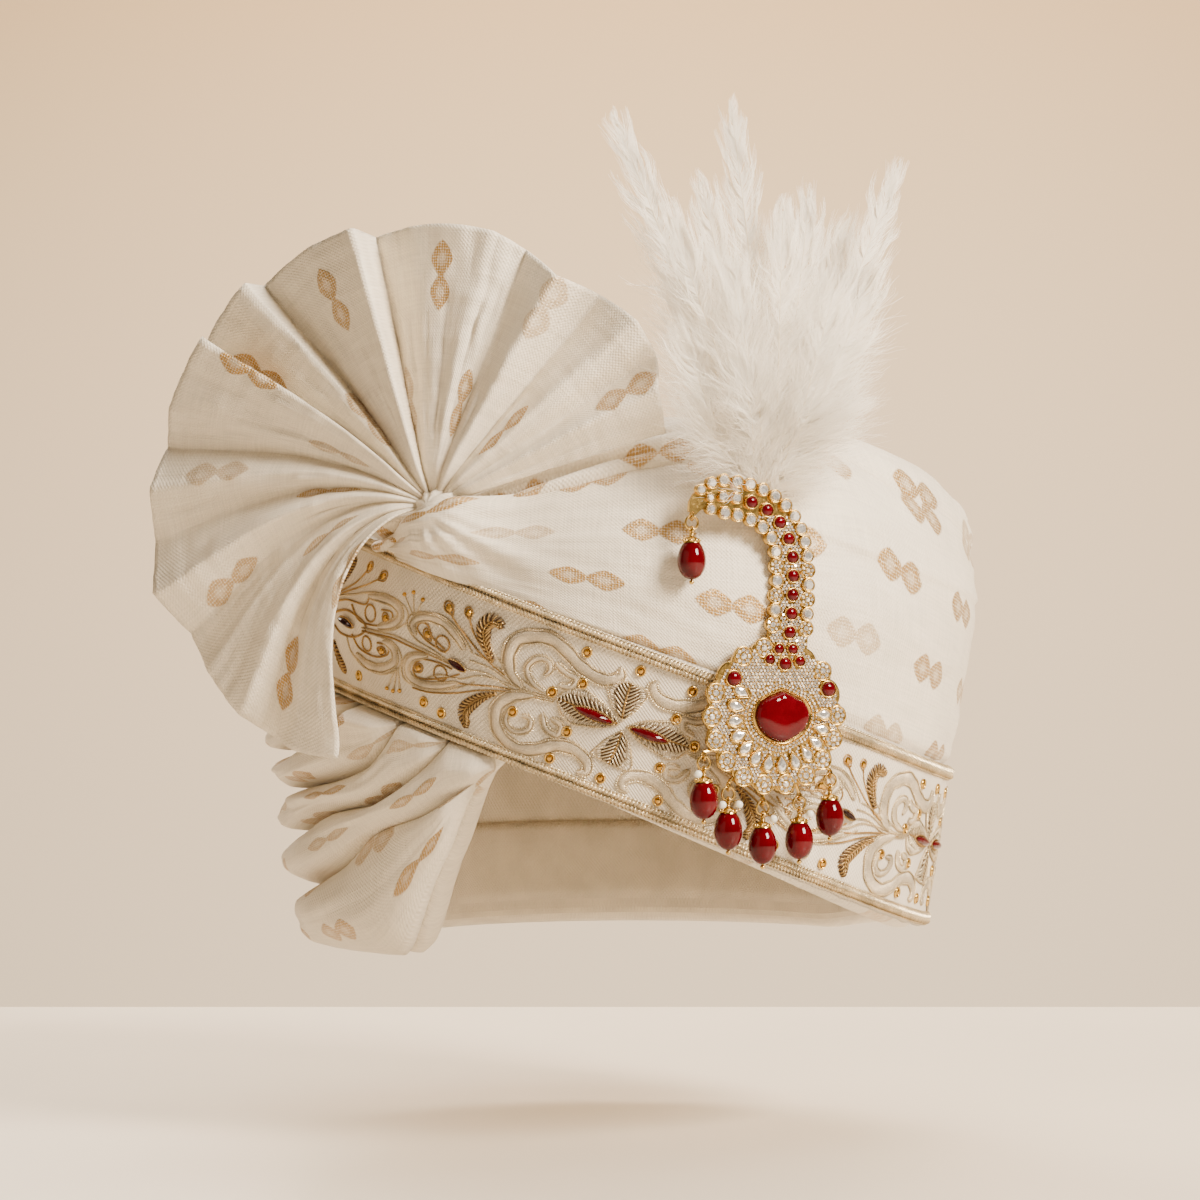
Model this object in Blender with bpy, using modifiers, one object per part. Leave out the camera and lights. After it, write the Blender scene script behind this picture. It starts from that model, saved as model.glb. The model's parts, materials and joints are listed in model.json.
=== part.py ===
"""A tied ivory turban: slanting embroidered band, wound back folds, pleated side fan and plume brooch.

Lengths are in metres. The origin is the middle of the head opening, +Z is up and -Y is the wearer's front.
Angles round the crown are in degrees from +X: -90 is the front, 90 the back, 180 the wearer's right side.
"""

import math
from collections import namedtuple

import bmesh
import bpy
from mathutils import Matrix, Vector

# Crown
CROWN_WIDTH = 0.238
CROWN_DEPTH = 0.256
CROWN_TOP = 0.157
CROWN_WALL = 0.012
RIM_DEPTH = 0.034
RIM_HEM = 0.002
CROWN_STEP = 15
STATION_STEP = 12

# Embroidered band, which lies in a plane that falls towards +X
BAND_MIDDLE = 0.048
BAND_HEIGHT = 0.0595
BAND_FALL = 0.40
BAND_THICKNESS = 0.0025
CORD_DIAMETER = 0.0038
CORD_INSET = 0.0032

# Cloth laid on the crown
LAY_GAP = 0.0012
EDGE_GAP = 0.0007
WRAP_THICKNESS = 0.0036
ROLL_THICKNESS = 0.0065
FOLDS_HEIGHT = 0.084
FOLD_BULGE = 0.024
UPPER_LAYER_LEVEL = 0.1365
UPPER_LAYER_LEAST = 0.008

# Where each piece of cloth starts and ends round the crown, in degrees
BAND_SPAN = (-168, 46)
FRONT_SPAN = (-137, 46)
TOP_SPAN = (-118, -8)
BACK_UPPER_SPAN = (-6, 190)
BACK_LOWER_SPAN = (50, 190)
FOLDS_START = 52
FOLD_ENDS = (238, 240, 231, 221, 208)

# Pleated fan and the knot that gathers it
FAN_RADIUS = 0.099
FAN_CLOTH = 0.0014
FAN_PLEAT_DEPTH = 0.0125
FAN_TURN = -12.0
FAN_SWEEP = 0.022
FAN_SWEEP_ANGLE = 220.0
FAN_GATHER_ANGLE = 100.0
FAN_GATHER_TURN = 60.0
KNOT_ANGLE = -124.0
KNOT_HEIGHT = 0.1180
KNOT_STANDOFF = 0.0185
KNOT_RADIUS = 0.010
KNOT_CLEARANCE = 0.0004
KNOT_SEAT_SHARE = 0.70

# Brooch
BROOCH_ANGLE = -68.0
BROOCH_HEIGHT = 0.0545
BROOCH_CLEARANCE = 0.0008
PLATE_THICKNESS = 0.0018
STEM_THICKNESS = 0.0015
MEDALLION_RADIUS = 0.0275
MEDALLION_SHIFT = -0.0025
STEM_HEIGHT = 0.0755
STEM_HALF_WIDTH = 0.0082
STONE_SEAT = 0.0003
STONE_SINK = 0.0006
STONE_TABLE_SHARE = 0.58
CRYSTAL_RADIUS = 0.0024
CRYSTAL_HEIGHT = 0.0015
CRYSTAL_OFFSET = 0.0060
CRYSTAL_PITCH = 0.0064
PAVE_RADIUS = 0.0030
PAVE_RING = 0.0232
PAVE_PITCH_ANGLE = 20.0
PETAL_COUNT = 12
PETAL_FIRST_ANGLE = 166.0
PETAL_STEP_ANGLE = 18.4
PETAL_RING = 0.0168
PETAL_SHIFT = -0.0010
PETAL_LENGTH = 0.0058
PETAL_WIDTH = 0.0040
RUBY_COUNT = 9
RUBY_RADIUS = 0.0021
RUBY_FIRST = 0.0120
RUBY_PITCH = 0.00645
SIDE_RUBY_RADIUS = 0.0026
CENTRE_STONE_REACH = 0.0100
CENTRE_STONE_HEIGHT = 0.0034

# Hanging drops
DROP_COUNT = 5
DROP_FIRST_ANGLE = 207.0
DROP_STEP_ANGLE = 27.5
EYELET_RADIUS = 0.0013
EYELET_WIRE = 0.00045
EYELET_REACH = 0.0019
RING_RADIUS = 0.0023
RING_WIRE = 0.0004
LOOP_RADIUS = 0.00115
PIN_WIRE = 0.00035
BEAD_RADIUS = 0.00485
BEAD_HEIGHT = 0.0140
BEAD_BORE = 0.00065
BEAD_DROP = 0.0018

# Plume
PLUME_HEIGHT = 0.134
PLUME_THICKNESS = 0.024
PLUME_ROOT_ACROSS = -0.0035
PLUME_ROOT_UP = 0.0700
PLUME_ROOT_DEPTH = 0.0032
PLUME_ROOT_THICKNESS = 0.0040

Finish = namedtuple("Finish", "name colour roughness metallic")
IVORY_SILK = Finish("ivory_silk", (0.78, 0.71, 0.60), 0.55, 0.0)
BAND_SILK = Finish("band_silk", (0.66, 0.58, 0.47), 0.50, 0.0)
ZARI_CORD = Finish("zari_cord", (0.60, 0.46, 0.30), 0.38, 0.6)
GOLD = Finish("gold", (0.83, 0.62, 0.30), 0.25, 1.0)
RUBY_GLASS = Finish("ruby_glass", (0.32, 0.004, 0.012), 0.08, 0.0)
FEATHER = Finish("feather", (0.88, 0.84, 0.76), 0.80, 0.0)

Girth = namedtuple("Girth", "height_share girth_share")
CROWN_PROFILE = (
    Girth(0.00, 0.84),
    Girth(0.17, 0.885),
    Girth(0.35, 0.93),
    Girth(0.50, 0.97),
    Girth(0.65, 1.00),
    Girth(0.78, 0.965),
    Girth(0.86, 0.90),
    Girth(0.92, 0.80),
    Girth(0.96, 0.68),
    Girth(0.985, 0.50),
    Girth(1.00, 0.0),
)
CROWN_ROWS = (0.0, 0.17, 0.34, 0.50, 0.64, 0.76, 0.86, 0.925, 0.965, 0.99)

# How far the rim follows the band's lower edge (1) or lies at its full depth (0)
RimLift = namedtuple("RimLift", "angle band_share")
RIM_LIFTS = (
    RimLift(-180, 0.0),
    RimLift(-147, 0.0),
    RimLift(-130, 0.45),
    RimLift(-115, 1.0),
    RimLift(0, 1.0),
    RimLift(40, 0.0),
    RimLift(180, 0.0),
)

# The front layer's top edge, as a share of the crown's height
Edge = namedtuple("Edge", "angle height_share")
FRONT_EDGE = (
    Edge(-150, 0.785),
    Edge(-118, 0.845),
    Edge(-106, 0.875),
    Edge(-93, 0.918),
    Edge(-82, 0.944),
    Edge(-70, 0.948),
    Edge(-53, 0.928),
    Edge(-37, 0.840),
    Edge(-20, 0.775),
    Edge(-5, 0.725),
    Edge(40, 0.640),
    Edge(90, 0.575),
    Edge(140, 0.560),
    Edge(192, 0.580),
)
TOP_EDGE = (
    Edge(-118, 0.895),
    Edge(-106, 0.935),
    Edge(-93, 0.970),
    Edge(-82, 0.982),
    Edge(-53, 0.982),
    Edge(-37, 0.955),
    Edge(-20, 0.905),
    Edge(-8, 0.770),
)
BACK_EDGE = (
    Edge(-6, 0.800),
    Edge(10, 0.905),
    Edge(50, 0.935),
    Edge(120, 0.940),
    Edge(190, 0.900),
)

# Top edges of the five back folds, from the lowest, as shares of the folds' height above the rim
FoldLine = namedtuple("FoldLine", "angle fold_1 fold_2 fold_3 fold_4 fold_5")
FOLD_LINES = (
    FoldLine(52, 0.20, 0.40, 0.58, 0.74, 0.88),
    FoldLine(90, 0.21, 0.42, 0.61, 0.78, 0.93),
    FoldLine(135, 0.24, 0.46, 0.66, 0.83, 0.98),
    FoldLine(180, 0.26, 0.50, 0.69, 0.86, 1.00),
    FoldLine(192, 0.31, 0.55, 0.72, 0.88, 1.06),
    FoldLine(204, 0.39, 0.62, 0.75, 0.98, 1.20),
    FoldLine(216, 0.54, 0.66, 0.82, 1.10, 1.35),
    FoldLine(228, 0.62, 0.80, 1.06, 1.30, 1.50),
    FoldLine(244, 0.83, 1.12, 1.30, 1.50, 1.70),
)
FoldBulge = namedtuple("FoldBulge", "angle bulge_share")
FOLD_BULGES = (
    FoldBulge(52, 0.26),
    FoldBulge(90, 0.60),
    FoldBulge(135, 0.85),
    FoldBulge(180, 1.00),
    FoldBulge(195, 0.92),
    FoldBulge(204, 0.80),
    FoldBulge(216, 0.60),
    FoldBulge(228, 0.40),
    FoldBulge(244, 0.24),
)

# Cross-sections from the upper edge to the lower edge
Section = namedtuple("Section", "across thickness_share")
WRAP_SECTION = (
    Section(1.0, 0.85),
    Section(0.97, 1.0),
    Section(0.55, 0.85),
    Section(0.2, 0.65),
    Section(0.0, 0.5),
)
ROLL_SECTION = (
    Section(1.0, 0.40),
    Section(0.86, 0.84),
    Section(0.5, 1.0),
    Section(0.14, 0.84),
    Section(0.0, 0.40),
)
FLAT_SECTION = (Section(1.0, 1.0), Section(0.66, 1.0), Section(0.33, 1.0), Section(0.0, 1.0))

# Creases of the fan from its upper right end, anticlockwise seen from the front
Crease = namedtuple("Crease", "angle depth_share reach_share")
FAN_CREASES = (
    Crease(17, -0.7, 0.86),
    Crease(26, 0.25, 0.91),
    Crease(33, -0.5, 0.95),
    Crease(40, 0.45, 0.98),
    Crease(51, -0.7, 0.94),
    Crease(59, 0.85, 0.92),
    Crease(69, -0.2, 0.95),
    Crease(76, 0.35, 0.98),
    Crease(90, 0.0, 0.985),
    Crease(100, -1.0, 0.98),
    Crease(108, 1.0, 1.0),
    Crease(118, -0.1, 1.02),
    Crease(128, -0.9, 1.03),
    Crease(133, 0.35, 1.045),
    Crease(144, -0.6, 1.05),
    Crease(147, 1.0, 1.02),
    Crease(160, 0.15, 1.05),
    Crease(168, -0.5, 1.05),
    Crease(176, 0.45, 1.06),
    Crease(186, -0.35, 1.08),
    Crease(196, 0.6, 1.09),
    Crease(205, -0.5, 1.05),
    Crease(216, 0.1, 1.04),
    Crease(225, 0.5, 1.035),
    Crease(232, -0.4, 1.03),
    Crease(238, 0.35, 1.01),
    Crease(248, 0.8, 0.95),
)
FAN_RINGS = (0.0, 0.18, 0.42, 0.70, 1.0)
FAN_DEPTH_GROWTH = 0.75

# The stem's middle line from the medallion to the hooked tip, as shares of its height
RoutePoint = namedtuple("RoutePoint", "across up")
STEM_ROUTE = (
    RoutePoint(0.020, 0.22),
    RoutePoint(0.045, 0.45),
    RoutePoint(0.055, 0.60),
    RoutePoint(0.050, 0.73),
    RoutePoint(0.020, 0.83),
    RoutePoint(-0.045, 0.91),
    RoutePoint(-0.135, 0.96),
    RoutePoint(-0.235, 0.985),
    RoutePoint(-0.335, 0.990),
    RoutePoint(-0.410, 0.965),
    RoutePoint(-0.440, 0.915),
)
StemWidth = namedtuple("StemWidth", "route_share width_share")
STEM_WIDTHS = (
    StemWidth(0.0, 1.10),
    StemWidth(0.3, 1.0),
    StemWidth(0.85, 0.92),
    StemWidth(0.93, 0.55),
    StemWidth(1.0, 0.20),
)

# Small stones where the stem meets the medallion and at its sides, in shares of the medallion's radius
StonePlace = namedtuple("StonePlace", "across up radius")
CLUSTER_STONES = (
    StonePlace(-0.045, 0.835, 0.00175),
    StonePlace(0.145, 0.830, 0.00175),
    StonePlace(-0.170, 0.705, 0.00175),
    StonePlace(0.040, 0.650, 0.00220),
    StonePlace(0.245, 0.680, 0.00175),
)
SIDE_STONES = (
    StonePlace(-0.66, 0.47, SIDE_RUBY_RADIUS),
    StonePlace(0.64, 0.33, SIDE_RUBY_RADIUS),
)

Outline = namedtuple("Outline", "angle reach_share")
CENTRE_STONE_OUTLINE = (
    Outline(0, 1.0),
    Outline(30, 0.93),
    Outline(55, 0.78),
    Outline(72, 0.79),
    Outline(90, 0.84),
    Outline(108, 0.79),
    Outline(130, 0.83),
    Outline(155, 0.95),
    Outline(180, 1.0),
    Outline(210, 0.94),
    Outline(240, 0.88),
    Outline(268, 0.88),
    Outline(300, 0.84),
    Outline(330, 0.93),
)
Tier = namedtuple("Tier", "height_share girth_share")
CENTRE_STONE_TIERS = (Tier(0.0, 0.97), Tier(0.30, 1.0), Tier(0.70, 0.90), Tier(0.93, 0.74), Tier(1.0, 0.58))
DOME_TIERS = (Tier(1.0, 0.0), Tier(0.80, 0.62), Tier(0.25, 1.0), Tier(0.0, 0.94), Tier(0.0, 0.0))

# Locks of the plume: tip place, width and depth of the middle, as shares of the plume's height
Lock = namedtuple("Lock", "tip_across tip_up width depth")
PLUME_LOCKS = (
    Lock(-0.09, 1.00, 0.300, 0.000),
    Lock(-0.40, 0.95, 0.215, -0.045),
    Lock(0.36, 0.84, 0.240, 0.030),
    Lock(0.06, 0.76, 0.300, 0.045),
    Lock(-0.33, 0.62, 0.230, 0.035),
    Lock(0.27, 0.52, 0.240, -0.040),
    Lock(-0.26, 0.34, 0.220, 0.020),
)
LOCK_PROFILE = (
    Tier(0.0, 0.10),
    Tier(0.22, 0.36),
    Tier(0.42, 0.80),
    Tier(0.65, 1.0),
    Tier(0.85, 0.72),
    Tier(1.0, 0.10),
)

part_collection = bpy.data.collections.new("turban")
cutter_collection = bpy.data.collections.new("turban_helpers")


def clear_scene():
    for thing in list(bpy.data.objects):
        bpy.data.objects.remove(thing)
    bpy.context.scene.collection.children.link(part_collection)
    bpy.context.scene.collection.children.link(cutter_collection)


def through(rows, at, column=1):
    """Reads a column of a table at a value of its first column, on a smooth curve with no overshoot."""
    places = [row[0] for row in rows]
    values = [row[column] for row in rows]
    if at <= places[0]:
        return values[0]
    if at >= places[-1]:
        return values[-1]
    steps = [b - a for a, b in zip(places, places[1:])]
    grades = [(b - a) / step for a, b, step in zip(values, values[1:], steps)]
    slopes = [grades[0]]
    for before, after in zip(grades, grades[1:]):
        slopes.append(2 * before * after / (before + after) if before * after > 0 else 0.0)
    slopes.append(grades[-1])
    i = max(k for k in range(len(steps)) if places[k] <= at)
    t = (at - places[i]) / steps[i]
    start = values[i] * (2 * t**3 - 3 * t**2 + 1) + slopes[i] * steps[i] * (t**3 - 2 * t**2 + t)
    end = values[i + 1] * (3 * t**2 - 2 * t**3) + slopes[i + 1] * steps[i] * (t**3 - t**2)
    return start + end


def finish_material(finish):
    """The Blender material of a finish, made once."""
    found = bpy.data.materials.get(finish.name)
    if found:
        return found
    material = bpy.data.materials.new(finish.name)
    material.use_nodes = True
    shader = material.node_tree.nodes["Principled BSDF"]
    shader.inputs["Base Color"].default_value = (*finish.colour, 1.0)
    shader.inputs["Roughness"].default_value = finish.roughness
    shader.inputs["Metallic"].default_value = finish.metallic
    return material


def add_object(name, data, finish, parent=None, collection=part_collection):
    thing = bpy.data.objects.new(name, data)
    collection.objects.link(thing)
    if finish:
        data.materials.append(finish_material(finish))
    if parent:
        thing.parent = parent
    return thing


def add_empty(name, matrix):
    """A reference frame that pieces are parented to."""
    frame = bpy.data.objects.new(name, None)
    part_collection.objects.link(frame)
    frame.matrix_world = matrix
    return frame


def mesh_from(bm, name):
    mesh = bpy.data.meshes.new(name)
    bm.to_mesh(mesh)
    bm.free()
    return mesh


def loft(name, sections, finish, parent=None):
    """One closed solid through rings of equally many points, with flat caps."""
    bm = bmesh.new()
    rings = [[bm.verts.new(point) for point in section] for section in sections]
    count = len(rings[0])
    for ring, following in zip(rings, rings[1:]):
        for k in range(count):
            bm.faces.new((ring[k], ring[(k + 1) % count], following[(k + 1) % count], following[k]))
    bm.faces.new(rings[0])
    bm.faces.new(rings[-1])
    bmesh.ops.recalc_face_normals(bm, faces=bm.faces)
    return add_object(name, mesh_from(bm, name), finish, parent)


def turned(name, profile, steps, finish, parent=None, closed=False):
    """A turned shape: a profile in the XZ plane, run down its outer side, under a Screw modifier."""
    bm = bmesh.new()
    points = [bm.verts.new((x, 0.0, z)) for x, z in profile]
    for a, b in zip(points, points[1:]):
        bm.edges.new((a, b))
    if closed:
        bm.edges.new((points[-1], points[0]))
    thing = add_object(name, mesh_from(bm, name), finish, parent)
    screw = thing.modifiers.new("turn", "SCREW")
    screw.steps = screw.render_steps = steps
    screw.use_merge_vertices = True
    screw.merge_threshold = 0.00001
    return thing


def shade_round(thing, sharp_angle=40):
    thing.data.shade_smooth()
    thing.data.set_sharp_from_angle(angle=math.radians(sharp_angle))


def as_mesh(thing):
    """Turns a curve into a welded mesh object with whole flat faces, so that Booleans can use it."""
    bpy.context.view_layer.update()
    graph = bpy.context.evaluated_depsgraph_get()
    mesh = bpy.data.meshes.new_from_object(thing.evaluated_get(graph))
    bm = bmesh.new()
    bm.from_mesh(mesh)
    bmesh.ops.remove_doubles(bm, verts=bm.verts, dist=0.000002)
    bmesh.ops.dissolve_limit(bm, angle_limit=0.001, verts=bm.verts, edges=bm.edges)
    bmesh.ops.recalc_face_normals(bm, faces=bm.faces)
    bm.to_mesh(mesh)
    bm.free()
    name, parent, matrix = thing.name, thing.parent, thing.matrix_basis.copy()
    collection = thing.users_collection[0]
    bpy.data.objects.remove(thing)
    made = bpy.data.objects.new(name, mesh)
    collection.objects.link(made)
    made.parent = parent
    made.matrix_basis = matrix
    return made


def wire(name, points, radius, finish, parent=None, swell=None, resolution=1, cyclic=False):
    """A round wire along points, as a curve with filled caps. swell gives each point's radius share."""
    curve = bpy.data.curves.new(name, "CURVE")
    curve.dimensions = "3D"
    curve.bevel_depth = radius
    curve.bevel_resolution = resolution
    curve.use_fill_caps = True
    spline = curve.splines.new("POLY")
    spline.points.add(len(points) - 1)
    for k, point in enumerate(points):
        spline.points[k].co = (*point, 1.0)
        spline.points[k].radius = swell[k] if swell else 1.0
    spline.use_cyclic_u = cyclic
    return add_object(name, curve, finish, parent)


def union(base, *others):
    """Joins helper solids onto a base with Boolean modifiers and hides the helpers."""
    for other in others:
        joined = base.modifiers.new("join_" + other.name, "BOOLEAN")
        joined.operation = "UNION"
        joined.solver = "EXACT"
        joined.object = other
        other.hide_render = True
        other.display_type = "WIRE"


# The crown's surface, which everything wound round it follows


def girth(height):
    return through(CROWN_PROFILE, (height + RIM_DEPTH) / (CROWN_TOP + RIM_DEPTH))


def crown_surface(angle, height):
    turn = math.radians(angle)
    across, along = CROWN_WIDTH / 2 * girth(height), CROWN_DEPTH / 2 * girth(height)
    return Vector((across * math.cos(turn), along * math.sin(turn), height))


def crown_outward(angle, height):
    rise = 0.01 * (CROWN_TOP + RIM_DEPTH)
    upper = min(height + rise, CROWN_TOP - rise / 4)
    along = crown_surface(angle + 1, height) - crown_surface(angle - 1, height)
    up = crown_surface(angle, upper) - crown_surface(angle, upper - 2 * rise)
    return along.cross(up).normalized()


def off_crown(angle, height, offset):
    return crown_surface(angle, height) + crown_outward(angle, height) * offset


def slanted(angle, level):
    """The height, at an angle round the crown, of a plane that falls like the band and crosses Z at level."""
    reach = CROWN_WIDTH / 2 * girth(BAND_MIDDLE)
    return level - BAND_FALL * reach * math.cos(math.radians(angle))


def band_low(angle):
    return slanted(angle, BAND_MIDDLE - BAND_HEIGHT / 2)


def band_high(angle):
    return slanted(angle, BAND_MIDDLE + BAND_HEIGHT / 2)


def rim(angle):
    wrapped = (angle + 180) % 360 - 180
    share = through(RIM_LIFTS, wrapped)
    return -RIM_DEPTH + share * (band_low(angle) - RIM_HEM + RIM_DEPTH)


def front_edge(angle):
    return CROWN_TOP * through(FRONT_EDGE, angle)


def layer_line(angle):
    """The seam between the front's two layers, parallel to the band until it meets the top edge."""
    return min(slanted(angle, UPPER_LAYER_LEVEL), front_edge(angle) - UPPER_LAYER_LEAST)


def fold_line(angle, number):
    """The top edge of a back fold, which dives under the band's lower edge at the front."""
    if number == 0:
        return rim(angle)
    height = FOLDS_HEIGHT * through(FOLD_LINES, angle, number) - RIM_DEPTH
    return min(height, band_low(angle)) if angle > 190 else height


def top_edge(angle):
    return CROWN_TOP * through(TOP_EDGE, angle)


def back_edge(angle):
    return CROWN_TOP * through(BACK_EDGE, angle)


def stations(first, last):
    """Every whole step between two angles, with both ends."""
    steps = range(math.ceil(first / STATION_STEP), math.floor(last / STATION_STEP) + 1)
    return sorted({float(first), float(last), *(float(k * STATION_STEP) for k in steps)})


def laid_strip(name, span, low, high, thickness, section, finish, inner_points=4):
    """Cloth laid on the crown between two height lines, as a solid lofted round it."""
    sections = []
    for angle in stations(*span):
        bottom, top = low(angle) + EDGE_GAP / 2, high(angle) - EDGE_GAP / 2
        under = [1 - (1 - k / (inner_points - 1)) ** 1.6 for k in range(inner_points)]
        ring = [off_crown(angle, bottom + (top - bottom) * t, LAY_GAP) for t in under]
        for row in section:
            offset = LAY_GAP + thickness(angle) * row.thickness_share
            ring.append(off_crown(angle, bottom + (top - bottom) * row.across, offset))
        sections.append(ring)
    thing = loft(name, sections, finish)
    shade_round(thing)
    return thing


def crown():
    """The hollow cap of wound cloth, open below."""
    bm = bmesh.new()
    angles = [k * CROWN_STEP for k in range(360 // CROWN_STEP)]
    rows = []
    for share in CROWN_ROWS:
        rows.append([bm.verts.new(crown_surface(a, rim(a) + share * (CROWN_TOP - rim(a)))) for a in angles])
    pole = bm.verts.new((0.0, 0.0, CROWN_TOP))
    count = len(angles)
    for row, above in zip(rows, rows[1:]):
        for k in range(count):
            bm.faces.new((row[k], row[(k + 1) % count], above[(k + 1) % count], above[k]))
    for k in range(count):
        bm.faces.new((rows[-1][k], rows[-1][(k + 1) % count], pole))
    bmesh.ops.recalc_face_normals(bm, faces=bm.faces)
    shell = add_object("crown", mesh_from(bm, "crown"), IVORY_SILK)
    wall = shell.modifiers.new("wall", "SOLIDIFY")
    wall.thickness = CROWN_WALL
    wall.offset = -1
    shade_round(shell)


def wraps():
    """Layers of cloth wound over the front, the top and the back of the crown."""

    def flat(_):
        return WRAP_THICKNESS

    def rolled(_):
        return ROLL_THICKNESS

    def highest_fold(angle):
        return fold_line(angle, len(FOLD_ENDS))

    laid_strip("front_wrap_lower", FRONT_SPAN, band_high, layer_line, flat, WRAP_SECTION, IVORY_SILK, 5)
    laid_strip("front_wrap_upper", FRONT_SPAN, layer_line, front_edge, flat, WRAP_SECTION, IVORY_SILK)
    laid_strip("top_wrap", TOP_SPAN, front_edge, top_edge, rolled, ROLL_SECTION, IVORY_SILK, 5)
    laid_strip("back_wrap_upper", BACK_UPPER_SPAN, front_edge, back_edge, rolled, ROLL_SECTION, IVORY_SILK, 5)
    laid_strip("back_wrap_lower", BACK_LOWER_SPAN, highest_fold, front_edge, flat, WRAP_SECTION, IVORY_SILK)


def band():
    """The border band and the two twisted cords along its edges."""

    def flat(_):
        return BAND_THICKNESS

    laid_strip("embroidered_band", BAND_SPAN, band_low, band_high, flat, FLAT_SECTION, BAND_SILK, 5)
    first, last = BAND_SPAN
    lift = LAY_GAP + BAND_THICKNESS + EDGE_GAP + CORD_DIAMETER / 2
    for name, edge, inset in (("cord_lower", band_low, CORD_INSET), ("cord_upper", band_high, -CORD_INSET)):
        points = [off_crown(a, edge(a) + inset, lift) for a in stations(first + 1, last - 1)]
        wire(name, points, CORD_DIAMETER / 2, ZARI_CORD)


def back_folds():
    """Rolls of cloth wound round the back, which run forward and up under the band."""

    def bulged(angle):
        return FOLD_BULGE * through(FOLD_BULGES, angle)

    def line_of(number):
        return lambda angle: fold_line(angle, number)

    for number, end in enumerate(FOLD_ENDS, start=1):
        low, high = line_of(number - 1), line_of(number)
        laid_strip(f"back_fold_{number}", (FOLDS_START, end), low, high, bulged, ROLL_SECTION, IVORY_SILK, 3)


def facing_frame(place, turn):
    """An upright frame at a place whose Z faces forward, turned towards +X by an angle in degrees."""
    stand = Matrix.Rotation(math.radians(90), 4, "X")
    return Matrix.Translation(place) @ Matrix.Rotation(math.radians(turn), 4, "Z") @ stand


def knot_place():
    return off_crown(KNOT_ANGLE, KNOT_HEIGHT, KNOT_STANDOFF)


def knot():
    """The gathered knot at the fan's centre, seated on the front layer."""
    outward = crown_outward(KNOT_ANGLE, KNOT_HEIGHT)
    seat = LAY_GAP + WRAP_THICKNESS * KNOT_SEAT_SHARE + KNOT_CLEARANCE
    half_length = (KNOT_STANDOFF + KNOT_RADIUS / 2 - seat) / 2
    centre = off_crown(KNOT_ANGLE, KNOT_HEIGHT, seat + half_length)
    bm = bmesh.new()
    stretch = Matrix.Diagonal((KNOT_RADIUS, KNOT_RADIUS, half_length, 1.0))
    bmesh.ops.create_uvsphere(bm, u_segments=10, v_segments=6, radius=1.0, matrix=stretch)
    facing = outward.to_track_quat("Z", "Y").to_matrix().to_4x4()
    frame = add_empty("knot_frame", Matrix.Translation(centre) @ facing)
    shade_round(add_object("fan_knot", mesh_from(bm, "fan_knot"), IVORY_SILK, frame))


def fan():
    """The pleated fan: a sheet folded to and fro, its lower pleats turned up into the knot and swept back."""
    frame = add_empty("fan_frame", facing_frame(knot_place(), FAN_TURN))
    inner = KNOT_RADIUS + KNOT_CLEARANCE
    bm = bmesh.new()
    columns = []
    for crease in FAN_CREASES:
        back_share = 0.5 + 0.5 * math.cos(math.radians(crease.angle - FAN_SWEEP_ANGLE))
        past = max(0.0, crease.angle - FAN_GATHER_ANGLE) / (FAN_CREASES[-1].angle - FAN_GATHER_ANGLE)
        column = []
        for share in FAN_RINGS:
            turn = math.radians(crease.angle - FAN_GATHER_TURN * past**1.3 * (1 - share) ** 1.5)
            radius = inner + share * (FAN_RADIUS * crease.reach_share - inner)
            depth = FAN_PLEAT_DEPTH * crease.depth_share * (radius / FAN_RADIUS) ** FAN_DEPTH_GROWTH
            depth -= FAN_SWEEP * back_share * (radius / FAN_RADIUS) ** 1.5
            column.append(bm.verts.new((radius * math.cos(turn), radius * math.sin(turn), depth)))
        columns.append(column)
    for column, following in zip(columns, columns[1:]):
        for k in range(len(FAN_RINGS) - 1):
            bm.faces.new((column[k], column[k + 1], following[k + 1], following[k]))
    bmesh.ops.recalc_face_normals(bm, faces=bm.faces)
    sheet = add_object("pleated_fan", mesh_from(bm, "pleated_fan"), IVORY_SILK, frame)
    cloth = sheet.modifiers.new("cloth", "SOLIDIFY")
    cloth.thickness = FAN_CLOTH
    cloth.offset = 0


# The brooch, built in a frame whose X is across, Y up the stem and Z out of the face


def brooch_matrix():
    standoff = LAY_GAP + BAND_THICKNESS + EDGE_GAP + CORD_DIAMETER + BROOCH_CLEARANCE
    outward = crown_outward(BROOCH_ANGLE, BROOCH_HEIGHT)
    turn = math.degrees(math.atan2(outward.x, -outward.y))
    return facing_frame(off_crown(BROOCH_ANGLE, BROOCH_HEIGHT, standoff), turn)


def smooth_route(points, count):
    """Evenly spaced points on a smooth curve through a few chosen ones."""
    dense = []
    for i in range(len(points) - 1):
        a, b, c, d = (points[max(0, min(len(points) - 1, i + k))] for k in (-1, 0, 1, 2))
        for step in range(12):
            t = step / 12
            bend = (2 * a - 5 * b + 4 * c - d) * t**2 + (3 * b - a - 3 * c + d) * t**3
            dense.append(b + 0.5 * ((c - a) * t + bend))
    dense.append(points[-1])
    lengths = [0.0]
    for p, q in zip(dense, dense[1:]):
        lengths.append(lengths[-1] + (q - p).length)
    even = []
    for k in range(count):
        want = lengths[-1] * k / (count - 1)
        i = max(j for j in range(len(lengths) - 1) if lengths[j] <= want)
        even.append(dense[i].lerp(dense[i + 1], (want - lengths[i]) / (lengths[i + 1] - lengths[i])))
    return even


def stem_route(count):
    return smooth_route([Vector((p.across, p.up)) * STEM_HEIGHT for p in STEM_ROUTE], count)


def route_length():
    points = stem_route(60)
    return sum((q - p).length for p, q in zip(points, points[1:]))


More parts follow.
